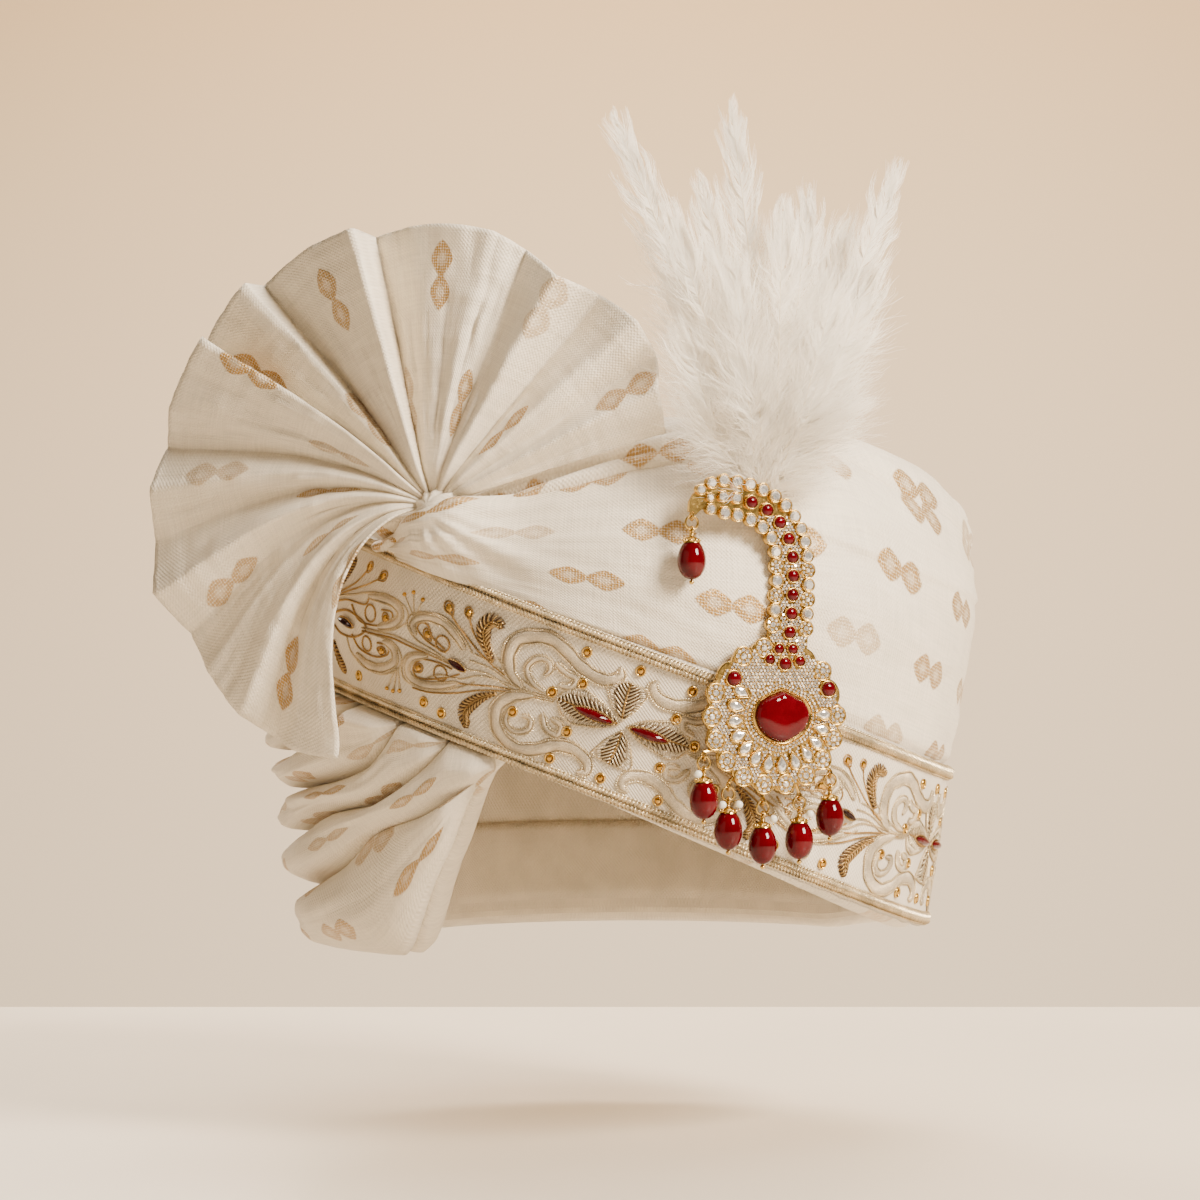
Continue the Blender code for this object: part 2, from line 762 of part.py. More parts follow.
def on_stem(distance, offset):
    """A point a distance along the stem's middle line and an offset to its right, looking along it."""
    points = stem_route(60)
    share = max(0.0, min(1.0, distance / route_length())) * (len(points) - 1)
    i = min(int(share), len(points) - 2)
    along = (points[i + 1] - points[i]).normalized()
    return points[i].lerp(points[i + 1], share - i) + Vector((along.y, -along.x)) * offset


def flat_plate(name, outline, thickness, finish, parent, collection):
    """A flat plate with a closed outline, its middle halfway up the medallion's thickness."""
    curve = bpy.data.curves.new(name, "CURVE")
    curve.dimensions = "2D"
    curve.fill_mode = "BOTH"
    curve.extrude = thickness / 2
    spline = curve.splines.new("POLY")
    spline.points.add(len(outline) - 1)
    for point, place in zip(spline.points, outline):
        point.co = (place[0], place[1], 0.0, 1.0)
    spline.use_cyclic_u = True
    plate = add_object(name, curve, finish, parent, collection)
    plate.location.z = PLATE_THICKNESS / 2
    return as_mesh(plate)


def stem_outline():
    """Both scalloped sides of the stem, one scallop to each crystal."""
    length = route_length()
    right, left = [], []
    count = 2 * int(length / CRYSTAL_PITCH)
    for k in range(count + 1):
        distance = length * k / count
        half = STEM_HALF_WIDTH * through(STEM_WIDTHS, k / count) * (1.0 if k % 2 else 0.90)
        right.append(on_stem(distance, half))
        left.append(on_stem(distance, -half))
    return right + left[::-1]


def medallion_outline():
    """The medallion's scalloped rim, one scallop to each pavé cluster."""
    outline = []
    lobes = 360 / PAVE_PITCH_ANGLE
    for k in range(54):
        turn = 2 * math.pi * k / 54
        reach = MEDALLION_RADIUS * (0.94 + 0.06 * abs(math.cos(turn * lobes / 2)))
        outline.append((MEDALLION_SHIFT + reach * math.cos(turn), reach * math.sin(turn)))
    return outline


def add_stone(bm, across, up, radius, height, stretch=1.0, turn=0.0, sides=8):
    """A cut stone on the plate: a girdle, facets and a flat table. stretch lengthens it along turn."""
    place = Matrix.Translation((across, up, PLATE_THICKNESS - STONE_SINK + height / 2))
    shape = Matrix.Rotation(turn, 4, "Z") @ Matrix.Diagonal((stretch, 1.0, 1.0, 1.0))
    table = radius * STONE_TABLE_SHARE
    bmesh.ops.create_cone(
        bm, cap_ends=True, segments=sides, radius1=radius, radius2=table, depth=height, matrix=place @ shape
    )


def ruby_spot(stone):
    return Vector((stone.across, stone.up)) * MEDALLION_RADIUS


def crystal_field(parent):
    """Every clear stone of the setting as one helper: stem crystals, pavé clusters and petals."""
    bm = bmesh.new()
    height = CRYSTAL_HEIGHT + STONE_SINK
    length = route_length()
    for side in (-1, 1):
        for k in range(1, int(0.94 * length / CRYSTAL_PITCH)):
            spot, following = (
                on_stem(d, side * CRYSTAL_OFFSET * through(STEM_WIDTHS, d / length))
                for d in (CRYSTAL_PITCH * (k + 0.5), CRYSTAL_PITCH * (k + 1.5))
            )
            radius = min(CRYSTAL_RADIUS, 0.44 * (following - spot).length)
            if (spot - Vector((MEDALLION_SHIFT, 0.0))).length > MEDALLION_RADIUS + CRYSTAL_RADIUS:
                add_stone(bm, spot.x, spot.y, radius, height)
    for k in range(int(360 / PAVE_PITCH_ANGLE)):
        angle = k * PAVE_PITCH_ANGLE
        turn = math.radians(angle)
        spot = Vector((MEDALLION_SHIFT + PAVE_RING * math.cos(turn), PAVE_RING * math.sin(turn)))
        reach = PAVE_RADIUS + SIDE_RUBY_RADIUS + STONE_SEAT
        rubies_near = [stone for stone in SIDE_STONES if (spot - ruby_spot(stone)).length < reach]
        if not 45 < angle < 115 and not rubies_near:
            add_stone(bm, spot.x, spot.y, PAVE_RADIUS, height)
    for k in range(PETAL_COUNT):
        turn = math.radians(PETAL_FIRST_ANGLE + PETAL_STEP_ANGLE * k)
        across, up = PETAL_SHIFT + PETAL_RING * math.cos(turn), PETAL_RING * math.sin(turn)
        add_stone(bm, across, up, PETAL_WIDTH / 2, height, PETAL_LENGTH / PETAL_WIDTH, turn)
    return add_object("crystal_field", mesh_from(bm, "crystal_field"), GOLD, parent, cutter_collection)


def drop_places():
    """The middles of the eyelets: five round the medallion's foot and one under the hook's tip."""
    reach = MEDALLION_RADIUS + EYELET_REACH
    places = []
    for k in range(DROP_COUNT):
        turn = math.radians(DROP_FIRST_ANGLE + DROP_STEP_ANGLE * k)
        places.append(Vector((MEDALLION_SHIFT + reach * math.cos(turn), reach * math.sin(turn))))
    places.append(on_stem(route_length(), 0.0) - Vector((0.0, EYELET_RADIUS * 0.8)))
    return places


def eyelets(parent):
    """Wire loops standing square to the plate, five of them on short stalks from its edge."""
    made = []
    middle = Vector((MEDALLION_SHIFT, 0.0))
    for number, place in enumerate(drop_places(), start=1):
        ring = []
        for k in range(8):
            turn = 2 * math.pi * k / 8
            out = PLATE_THICKNESS / 2 + EYELET_RADIUS * math.sin(turn)
            ring.append((place.x, place.y + EYELET_RADIUS * math.cos(turn), out))
        wires = [wire(f"eyelet_{number}", ring, EYELET_WIRE, GOLD, parent, resolution=0, cyclic=True)]
        if number <= DROP_COUNT:
            top = place + Vector((0.0, EYELET_RADIUS))
            inside = middle + (top - middle).normalized() * PAVE_RING
            stalk = [(*point, PLATE_THICKNESS / 2) for point in (inside, top)]
            wires.append(wire(f"stalk_{number}", stalk, EYELET_WIRE * 1.25, GOLD, parent))
        for made_wire in wires:
            part_collection.objects.unlink(made_wire)
            cutter_collection.objects.link(made_wire)
            made.append(as_mesh(made_wire))
    return made


def brooch_setting(frame):
    """The soldered gold setting: hooked stem, medallion, clear stones and eyelets in one solid."""
    plate = flat_plate("brooch_setting", medallion_outline(), PLATE_THICKNESS, GOLD, frame, part_collection)
    stem = flat_plate("stem_plate", stem_outline(), STEM_THICKNESS, GOLD, frame, cutter_collection)
    union(plate, stem, crystal_field(frame), *eyelets(frame))


def dome_stone(name, across, up, radius, frame):
    """A round ruby cabochon seated on the plate."""
    profile = [(radius * tier.girth_share, radius * 0.75 * tier.height_share) for tier in DOME_TIERS]
    stone = turned(name, profile, 8, RUBY_GLASS, frame)
    stone.location = (across, up, PLATE_THICKNESS + STONE_SEAT)
    shade_round(stone)


def rubies(frame):
    for k in range(RUBY_COUNT):
        spot = on_stem(RUBY_FIRST + RUBY_PITCH * k, 0.0)
        dome_stone(f"stem_ruby_{k + 1}", spot.x, spot.y, RUBY_RADIUS, frame)
    for group, stones in (("cluster_ruby", CLUSTER_STONES), ("side_ruby", SIDE_STONES)):
        for k, stone in enumerate(stones, start=1):
            spot = ruby_spot(stone)
            dome_stone(f"{group}_{k}", spot.x, spot.y, stone.radius, frame)


def centre_stone(frame):
    """The large cut ruby with a flat table and a facet to each side of its outline."""
    sections = []
    for tier in CENTRE_STONE_TIERS:
        ring = []
        for row in CENTRE_STONE_OUTLINE:
            turn = math.radians(row.angle)
            reach = CENTRE_STONE_REACH * row.reach_share * tier.girth_share
            height = PLATE_THICKNESS + STONE_SEAT + CENTRE_STONE_HEIGHT * tier.height_share
            ring.append((reach * math.cos(turn), reach * math.sin(turn), height))
        sections.append(ring)
    loft("centre_stone", sections, RUBY_GLASS, frame)


def bead_profile():
    """Half of an egg-shaped bead with its bore, run down the outer side."""
    profile = []
    for k in range(7):
        turn = math.pi * (k + 0.35) / 6.7
        profile.append((max(BEAD_BORE, BEAD_RADIUS * math.sin(turn)), BEAD_HEIGHT / 2 * math.cos(turn)))
    return [(BEAD_BORE, profile[0][1]), *profile[1:-1], (BEAD_BORE, profile[-1][1])]


def pin_points():
    """The headpin's line from its foot up through the bead to its loop, with each point's radius share."""
    loop_centre = -2 * RING_RADIUS
    bead_top = loop_centre - LOOP_RADIUS - BEAD_DROP
    foot = bead_top - BEAD_HEIGHT - STONE_SEAT
    head = 2.2 * PIN_WIRE
    points = [(0.0, 0.0, foot - 1.7 * head), (0.0, 0.0, foot - head), (0.0, 0.0, foot - 0.3 * head)]
    points.append((0.0, 0.0, bead_top + BEAD_DROP / 3))
    swell = [0.9, 2.3, 1.0, 1.0]
    for k in range(8):
        turn = math.radians(-90 + 43 * k)
        across = LOOP_RADIUS * math.cos(turn)
        points.append((0.0, across, loop_centre + LOOP_RADIUS * math.sin(turn)))
        swell.append(1.0)
    return points, swell


def drop(number, place, brooch):
    """A hanging drop: a jump ring through the eyelet, a headpin through the ring and a drilled bead."""
    hole = brooch @ Vector((place.x, place.y, PLATE_THICKNESS / 2))
    turn = math.degrees(math.atan2(brooch[1][0], brooch[0][0]))
    hang = Matrix.Translation(hole) @ Matrix.Rotation(math.radians(turn), 4, "Z")
    frame = add_empty(f"drop_frame_{number}", hang)
    ring = []
    for k in range(10):
        turn_round = 2 * math.pi * k / 10
        ring.append((RING_RADIUS * math.sin(turn_round), 0.0, RING_RADIUS * (math.cos(turn_round) - 1)))
    wire(f"drop_ring_{number}", ring, RING_WIRE, GOLD, frame, cyclic=True)
    points, swell = pin_points()
    wire(f"drop_pin_{number}", points, PIN_WIRE, GOLD, frame, swell=swell)
    bead = turned(f"drop_bead_{number}", bead_profile(), 10, RUBY_GLASS, frame, closed=True)
    bead.location.z = -2 * RING_RADIUS - LOOP_RADIUS - BEAD_DROP - BEAD_HEIGHT / 2
    shade_round(bead)


def plume(frame):
    """The feather plume as locks joined at a thin root behind the stem."""
    root = Vector((PLUME_ROOT_ACROSS, PLUME_ROOT_UP, -PLUME_ROOT_DEPTH))
    base_up = STEM_HEIGHT + STEM_HALF_WIDTH
    made = []
    for number, lock in enumerate(PLUME_LOCKS, start=1):
        tip = Vector((lock.tip_across, lock.tip_up, 0.0)) * PLUME_HEIGHT
        tip += Vector((PLUME_ROOT_ACROSS, STEM_HEIGHT, root.z))
        across_line = (tip - root).cross(Vector((0.0, 0.0, 1.0))).normalized()
        sections = []
        for k in range(6):
            t = k / 5
            share = through(LOCK_PROFILE, t)
            centre = root.lerp(tip, t)
            centre.x = root.x + (tip.x - root.x) * t**1.35
            free = max(0.0, min(1.0, (centre.y - base_up) / (0.12 * PLUME_HEIGHT)))
            centre.z += lock.depth * PLUME_HEIGHT * free
            half_width = lock.width / 2 * PLUME_HEIGHT * share
            half_depth = PLUME_ROOT_THICKNESS / 2 * (1 - free) + PLUME_THICKNESS / 2 * free * share
            ring = []
            for j in range(6):
                turn = 2 * math.pi * j / 6
                outward = Vector((0.0, 0.0, half_depth * math.sin(turn)))
                ring.append(centre + across_line * half_width * math.cos(turn) + outward)
            sections.append(ring)
        name = "plume" if number == 1 else f"plume_lock_{number}"
        thing = loft(name, sections, FEATHER, frame)
        if number > 1:
            part_collection.objects.unlink(thing)
            cutter_collection.objects.link(thing)
        made.append(thing)
    union(*made)


def brooch():
    matrix = brooch_matrix()
    frame = add_empty("brooch_frame", matrix)
    brooch_setting(frame)
    rubies(frame)
    centre_stone(frame)
    for number, place in enumerate(drop_places(), start=1):
        drop(number, place, matrix)
    plume(frame)


clear_scene()
crown()
wraps()
band()
back_folds()
fan()
knot()
brooch()
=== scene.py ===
"""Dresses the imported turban: wound silk cloth, pleated fan, embroidered band, jewelled brooch and feather plume.

Lengths are in metres. The origin is the middle of the head opening, +Z is up and -Y is the wearer's front.
Angles round the crown are in degrees from +X: -90 is the front, 90 the back, 180 the wearer's right side.
"""

import json
import math
from collections import namedtuple

import bmesh
import bpy
from bpy.props import FloatProperty, IntProperty, PointerProperty, StringProperty
from mathutils import Matrix, Vector, noise

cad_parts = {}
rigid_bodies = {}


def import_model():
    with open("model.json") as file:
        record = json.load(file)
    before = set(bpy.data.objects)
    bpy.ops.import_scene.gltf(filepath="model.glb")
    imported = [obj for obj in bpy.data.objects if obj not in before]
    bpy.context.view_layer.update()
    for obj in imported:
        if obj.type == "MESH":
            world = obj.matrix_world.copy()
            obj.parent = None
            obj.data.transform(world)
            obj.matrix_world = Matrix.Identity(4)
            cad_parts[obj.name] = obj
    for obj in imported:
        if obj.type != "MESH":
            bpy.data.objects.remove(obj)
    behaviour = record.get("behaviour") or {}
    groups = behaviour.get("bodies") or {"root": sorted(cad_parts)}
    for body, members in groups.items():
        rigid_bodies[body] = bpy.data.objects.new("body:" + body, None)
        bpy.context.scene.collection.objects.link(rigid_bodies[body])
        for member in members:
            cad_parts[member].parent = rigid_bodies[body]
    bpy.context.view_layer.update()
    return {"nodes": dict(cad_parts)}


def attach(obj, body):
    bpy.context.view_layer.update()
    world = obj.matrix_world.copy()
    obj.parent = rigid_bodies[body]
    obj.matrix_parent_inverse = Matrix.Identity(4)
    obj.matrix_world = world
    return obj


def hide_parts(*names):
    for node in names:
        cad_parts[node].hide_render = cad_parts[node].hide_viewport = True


bl_info = {
    "name": "Tied Turban",
    "version": (1, 0, 0),
    "blender": (4, 5, 0),
    "location": "3D View > Sidebar > Turban",
    "description": "Adds the cloth, embroidery, brooch and plume of a tied ceremonial turban",
    "category": "Object",
}

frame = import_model()
BODY = "root"

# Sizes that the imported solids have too, in metres and degrees
CROWN_WIDTH = 0.238
CROWN_DEPTH = 0.256
CROWN_TOP = 0.157
CROWN_WALL = 0.012
RIM_DEPTH = 0.034
RIM_HEM = 0.002
BAND_MIDDLE = 0.048
BAND_HEIGHT = 0.0595
BAND_FALL = 0.40
BAND_THICKNESS = 0.0025
BAND_SPAN = (-168, 46)
CORD_DIAMETER = 0.0038
CORD_INSET = 0.0032
LAY_GAP = 0.0012
EDGE_GAP = 0.0007
WRAP_THICKNESS = 0.0036
ROLL_THICKNESS = 0.0065
FOLDS_HEIGHT = 0.084
FOLD_BULGE = 0.024
FOLD_ENDS = (238, 240, 231, 221, 208)
UPPER_LAYER_LEVEL = 0.1365
FAN_RADIUS = 0.099
FAN_PLEAT_DEPTH = 0.0125
FAN_TURN = -12.0
FAN_SWEEP = 0.022
FAN_SWEEP_ANGLE = 220.0
FAN_GATHER_ANGLE = 100.0
FAN_GATHER_TURN = 60.0
FAN_DEPTH_GROWTH = 0.75
KNOT_ANGLE = -124.0
KNOT_HEIGHT = 0.1180
KNOT_STANDOFF = 0.0185

Girth = namedtuple("Girth", "height_share girth_share")
CROWN_PROFILE = (
    Girth(0.00, 0.84),
    Girth(0.17, 0.885),
    Girth(0.35, 0.93),
    Girth(0.50, 0.97),
    Girth(0.65, 1.00),
    Girth(0.78, 0.965),
    Girth(0.86, 0.90),
    Girth(0.92, 0.80),
    Girth(0.96, 0.68),
    Girth(0.985, 0.50),
    Girth(1.00, 0.0),
)
RimLift = namedtuple("RimLift", "angle band_share")
RIM_LIFTS = (
    RimLift(-180, 0.0),
    RimLift(-147, 0.0),
    RimLift(-130, 0.45),
    RimLift(-115, 1.0),
    RimLift(0, 1.0),
    RimLift(40, 0.0),
    RimLift(180, 0.0),
)

# Top edge of the front cloth as heights on the crown, and the upper edges of the layers behind it
Edge = namedtuple("Edge", "angle height")
FRONT_TOP = (
    Edge(-166, 0.1080),
    Edge(-150, 0.1120),
    Edge(-139, 0.1130),
    Edge(-134, 0.1145),
    Edge(-129, 0.1150),
    Edge(-124, 0.1165),
    Edge(-118, 0.1215),
    Edge(-112, 0.1270),
    Edge(-106, 0.1312),
    Edge(-100, 0.1350),
    Edge(-93, 0.1385),
    Edge(-82, 0.1415),
    Edge(-70, 0.1450),
    Edge(-53, 0.1457),
    Edge(-37, 0.1325),
    Edge(-20, 0.1217),
    Edge(-5, 0.1140),
    Edge(40, 0.1005),
    Edge(60, 0.0960),
    Edge(90, 0.0903),
    Edge(140, 0.0880),
    Edge(200, 0.0910),
)
TOP_EDGE = (
    Edge(-140, 0.1330),
    Edge(-118, 0.1405),
    Edge(-106, 0.1468),
    Edge(-93, 0.1523),
    Edge(-82, 0.1542),
    Edge(-53, 0.1542),
    Edge(-37, 0.1499),
    Edge(-20, 0.1421),
    Edge(-4, 0.1230),
)
BACK_EDGE = (
    Edge(-12, 0.1240),
    Edge(10, 0.1421),
    Edge(50, 0.1468),
    Edge(120, 0.1476),
    Edge(190, 0.1413),
    Edge(215, 0.1360),
)
FoldLine = namedtuple("FoldLine", "angle fold_1 fold_2 fold_3 fold_4 fold_5")
FOLD_LINES = (
    FoldLine(52, 0.20, 0.40, 0.58, 0.74, 0.88),
    FoldLine(90, 0.21, 0.42, 0.61, 0.78, 0.93),
    FoldLine(135, 0.24, 0.46, 0.66, 0.83, 0.98),
    FoldLine(180, 0.26, 0.50, 0.69, 0.86, 1.00),
    FoldLine(192, 0.31, 0.55, 0.72, 0.88, 1.06),
    FoldLine(204, 0.39, 0.62, 0.75, 0.98, 1.20),
    FoldLine(216, 0.54, 0.66, 0.82, 1.10, 1.35),
    FoldLine(228, 0.62, 0.80, 1.06, 1.30, 1.50),
    FoldLine(244, 0.83, 1.12, 1.30, 1.50, 1.70),
)
FoldBulge = namedtuple("FoldBulge", "angle bulge_share")
FOLD_BULGES = (
    FoldBulge(40, 0.20),
    FoldBulge(52, 0.26),
    FoldBulge(90, 0.60),
    FoldBulge(135, 0.85),
    FoldBulge(180, 1.00),
    FoldBulge(195, 0.92),
    FoldBulge(204, 0.80),
    FoldBulge(216, 0.60),
    FoldBulge(228, 0.40),
    FoldBulge(244, 0.24),
)

# Fold lines of the fan from its upper right end, anticlockwise. Where an angle steps back, one pleat laps the next.
Crease = namedtuple("Crease", "angle depth_share reach_share")
FAN_CREASES = (
    Crease(17, -0.7, 0.86),
    Crease(26, 0.25, 0.91),
    Crease(33, -0.5, 0.95),
    Crease(40, 0.45, 0.98),
    Crease(51, -0.7, 0.94),
    Crease(59, 0.85, 0.92),
    Crease(69, -0.2, 0.95),
    Crease(76, 0.35, 0.98),
    Crease(90, 0.0, 0.985),
    Crease(104, -1.0, 0.98),
    Crease(105, 1.0, 1.0),
    Crease(118, -0.1, 1.02),
    Crease(130, -0.9, 1.03),
    Crease(131, 0.35, 1.045),
    Crease(149, -0.6, 1.05),
    Crease(144, 1.0, 1.02),
    Crease(160, 0.15, 1.05),
    Crease(168, -0.5, 1.05),
    Crease(176, 0.45, 1.06),
    Crease(186, -0.35, 1.08),
    Crease(196, 0.6, 1.09),
    Crease(205, -0.5, 1.05),
    Crease(216, 0.1, 1.04),
    Crease(225, 0.5, 1.035),
    Crease(232, -0.4, 1.03),
    Crease(238, 0.35, 1.01),
    Crease(248, 0.8, 0.95),
)

# Rounded cross-section of a back fold: how far out it stands at each share of its height
Swell = namedtuple("Swell", "share out")
FOLD_SECTION = (
    Swell(-0.16, 0.06),
    Swell(-0.06, 0.22),
    Swell(0.04, 0.45),
    Swell(0.20, 0.80),
    Swell(0.42, 0.98),
    Swell(0.66, 1.00),
    Swell(0.84, 0.90),
    Swell(0.94, 0.72),
    Swell(1.00, 0.48),
    Swell(1.02, 0.20),
)


# Curves and heights on the crown


def through(rows, at, column=1):
    """Reads a column of a table at a value of its first column, on a smooth curve with no overshoot."""
    places = [row[0] for row in rows]
    values = [row[column] for row in rows]
    if at <= places[0]:
        return values[0]
    if at >= places[-1]:
        return values[-1]
    i = max(k for k in range(len(places) - 1) if places[k] <= at)
    first, last = max(0, i - 1), min(len(places) - 1, i + 2)
    grades = {k: (values[k + 1] - values[k]) / (places[k + 1] - places[k]) for k in range(first, last)}

    def slope(k):
        if k - 1 not in grades or k not in grades:
            return grades[k] if k in grades else grades[k - 1]
        product = grades[k - 1] * grades[k]
        return 2 * product / (grades[k - 1] + grades[k]) if product > 0 else 0.0

    step = places[i + 1] - places[i]
    t = (at - places[i]) / step
    start = values[i] * (2 * t**3 - 3 * t**2 + 1) + slope(i) * step * (t**3 - 2 * t**2 + t)
    return start + values[i + 1] * (3 * t**2 - 2 * t**3) + slope(i + 1) * step * (t**3 - t**2)


def eased(value, low=0.0, high=1.0):
    """0 below low, 1 above high and a smooth step between them."""
    t = max(0.0, min(1.0, (value - low) / (high - low)))
    return t * t * (3 - 2 * t)


def girth(height):
    return through(CROWN_PROFILE, (height + RIM_DEPTH) / (CROWN_TOP + RIM_DEPTH))


def crown_surface(angle, height):
    turn = math.radians(angle)
    share = girth(height)
    return Vector((CROWN_WIDTH / 2 * share * math.cos(turn), CROWN_DEPTH / 2 * share * math.sin(turn), height))


def crown_outward(angle, height):
    rise = 0.01 * (CROWN_TOP + RIM_DEPTH)
    upper = min(height + rise, CROWN_TOP - rise / 4)
    along = crown_surface(angle + 1, height) - crown_surface(angle - 1, height)
    up = crown_surface(angle, upper) - crown_surface(angle, upper - 2 * rise)
    return along.cross(up).normalized()


def off_crown(angle, height, offset):
    return crown_surface(angle, height) + crown_outward(angle, height) * offset


def slanted(angle, level):
    """The height, at an angle round the crown, of a plane that falls like the band and crosses Z at level."""
    reach = CROWN_WIDTH / 2 * girth(BAND_MIDDLE)
    return level - BAND_FALL * reach * math.cos(math.radians(angle))


def band_low(angle):
    return slanted(angle, BAND_MIDDLE - BAND_HEIGHT / 2)


def band_high(angle):
    return slanted(angle, BAND_MIDDLE + BAND_HEIGHT / 2)


def rim(angle):
    wrapped = (angle + 180) % 360 - 180
    return -RIM_DEPTH + through(RIM_LIFTS, wrapped) * (band_low(angle) - RIM_HEM + RIM_DEPTH)


def front_top(angle):
    return through(FRONT_TOP, angle)


def fold_line(angle, number):
    """The top edge of a back fold, which dives under the band's lower edge at the front."""
    if number == 0:
        return rim(angle)
    height = FOLDS_HEIGHT * through(FOLD_LINES, angle, number) - RIM_DEPTH
    return min(height, band_low(angle)) if angle > 190 else height


def facing_frame(place, turn):
    """An upright frame at a place whose Z faces forward, turned towards +X by an angle in degrees."""
    stand = Matrix.Rotation(math.radians(90), 4, "X")
    return Matrix.Translation(place) @ Matrix.Rotation(math.radians(turn), 4, "Z") @ stand


def knot_place():
    return off_crown(KNOT_ANGLE, KNOT_HEIGHT, KNOT_STANDOFF)


def arc_table(height_at, first, last, step=1.0):
    """Angles and the distance round the crown to each of them, along a height line."""
    angles = [first + step * k for k in range(int((last - first) / step) + 1)]
    reached = [0.0]
    for a, b in zip(angles, angles[1:]):
        reached.append(reached[-1] + (crown_surface(b, height_at(b)) - crown_surface(a, height_at(a))).length)
    return angles, reached


# Meshes


def grid_object(name, columns, uvs, material, closed=False):
    """A smooth mesh through columns of points, with a UV map in metres of cloth.

    closed joins the last row to the first.
    """
    count = len(columns[0])
    points = [point for column in columns for point in column]
    faces, corners = [], []
    for i in range(len(columns) - 1):
        for j in range(count if closed else count - 1):
            following = (j + 1) % count
            faces.append((i * count + j, (i + 1) * count + j, (i + 1) * count + following, i * count + following))
            corners += [uvs[i][j], uvs[i + 1][j], uvs[i + 1][j + 1], uvs[i][j + 1]]
    mesh = bpy.data.meshes.new(name)
    mesh.from_pydata(points, [], faces)
    layer = mesh.uv_layers.new(name="cloth")
    for k, corner in enumerate(corners):
        layer.data[k].uv = corner
    mesh.materials.append(material)
    mesh.shade_smooth()
    return add_object(name, mesh)


def add_object(name, data):
    made = bpy.data.objects.new(name, data)
    bpy.context.scene.collection.objects.link(made)
    return made


def face_outward(made, closed=True):
    """Turns a mesh's faces outward: by volume if it is closed, otherwise away from the crown's middle."""
    bm = bmesh.new()
    bm.from_mesh(made.data)
    if closed:
        bmesh.ops.holes_fill(bm, edges=[edge for edge in bm.edges if edge.is_boundary])
        bmesh.ops.recalc_face_normals(bm, faces=bm.faces)
    else:
        middle = Vector((0.0, 0.0, 0.05))
        facing = sum(face.normal.dot(face.calc_center_median() - middle) * face.calc_area() for face in bm.faces)
        if facing < 0:
            bmesh.ops.reverse_faces(bm, faces=bm.faces)
    bm.to_mesh(made.data)
    bm.free()
    for polygon in made.data.polygons:
        polygon.use_smooth = True
    return made


def welded(made, distance):
    """Merges a closed mesh's points that coincide and turns its faces outward."""
    bm = bmesh.new()
    bm.from_mesh(made.data)
    bmesh.ops.remove_doubles(bm, verts=bm.verts, dist=distance)
    bmesh.ops.recalc_face_normals(bm, faces=bm.faces)
    bm.to_mesh(made.data)
    bm.free()
    return made


def cloth_thickness(made, thickness, offset=-1.0):
    """Gives a sheet its cloth thickness with a Solidify modifier."""
    wall = made.modifiers.new("cloth", "SOLIDIFY")
    wall.thickness = thickness
    wall.offset = offset
    wall.use_even_offset = False
    return made


def kept(made, slot, *nodes):
    """Rides a finished piece on the part's one body and hides the solids it stands for."""
    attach(made, BODY)
    if nodes:
        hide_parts(*nodes)
    return made


# Materials


def linear(hex_colour):
    """An sRGB hex colour as linear RGBA."""
    shares = [int(hex_colour[k : k + 2], 16) / 255 for k in (1, 3, 5)]
    return (*(s / 12.92 if s <= 0.04045 else ((s + 0.055) / 1.055) ** 2.4 for s in shares), 1.0)


def node(tree, kind, inputs=None, **settings):
    """Adds a node with its settings. An input takes a value, a node (its first output) or a node and an output."""
    made = tree.nodes.new(kind)
    for name, value in settings.items():
        setattr(made, name, value)
    for name, value in (inputs or {}).items():
        if isinstance(value, bpy.types.Node):
            tree.links.new(value.outputs[0], made.inputs[name])
        elif isinstance(value, tuple) and isinstance(value[0], bpy.types.Node):
            tree.links.new(value[0].outputs[value[1]], made.inputs[name])
        else:
            made.inputs[name].default_value = value
    return made


def calc(tree, operation, *values):
    return node(tree, "ShaderNodeMath", dict(enumerate(values)), operation=operation)


def ranged(tree, value, low, high, new_low, new_high):
    """Turns values from low to high into values from new_low to new_high."""
    return node(tree, "ShaderNodeMapRange", {0: value, 1: low, 2: high, 3: new_low, 4: new_high})


def cloth_noise(tree, place, scale, detail):
    return node(tree, "ShaderNodeTexNoise", {"Vector": place, "Scale": scale, "Detail": detail}, noise_dimensions="2D")


def piece_noise(tree, scale, detail):
    """Noise that is fixed to the piece it is on."""
    place = node(tree, "ShaderNodeTexCoord")
    return node(tree, "ShaderNodeTexNoise", {"Vector": (place, "Object"), "Scale": scale, "Detail": detail})


def toned(tree, pattern, colour, darkest, lightest, low=0.3, high=0.7):
    """A colour that a pattern from low to high makes darker and lighter."""
    value = ranged(tree, pattern, low, high, darkest, lightest)
    return node(tree, "ShaderNodeHueSaturation", {"Value": value, "Color": linear(colour)})


def bumped(tree, height, strength, distance, **more):
    return node(tree, "ShaderNodeBump", {"Strength": strength, "Distance": distance, "Height": height, **more})


def plain_weave(tree, place, period):
    """The height of a plain weave. Its threads lie half a period apart."""
    scaled = node(tree, "ShaderNodeVectorMath", {0: place, "Scale": 2 * math.pi / period}, operation="SCALE")
    thread = node(tree, "ShaderNodeSeparateXYZ", {0: scaled})
    return calc(tree, "MULTIPLY", calc(tree, "SINE", (thread, "X")), calc(tree, "SINE", (thread, "Y")))


def new_tree(name):
    """The empty node tree of a new material."""
    material = bpy.data.materials.new(name)
    material.use_nodes = True
    material.node_tree.nodes.clear()
    return material.node_tree


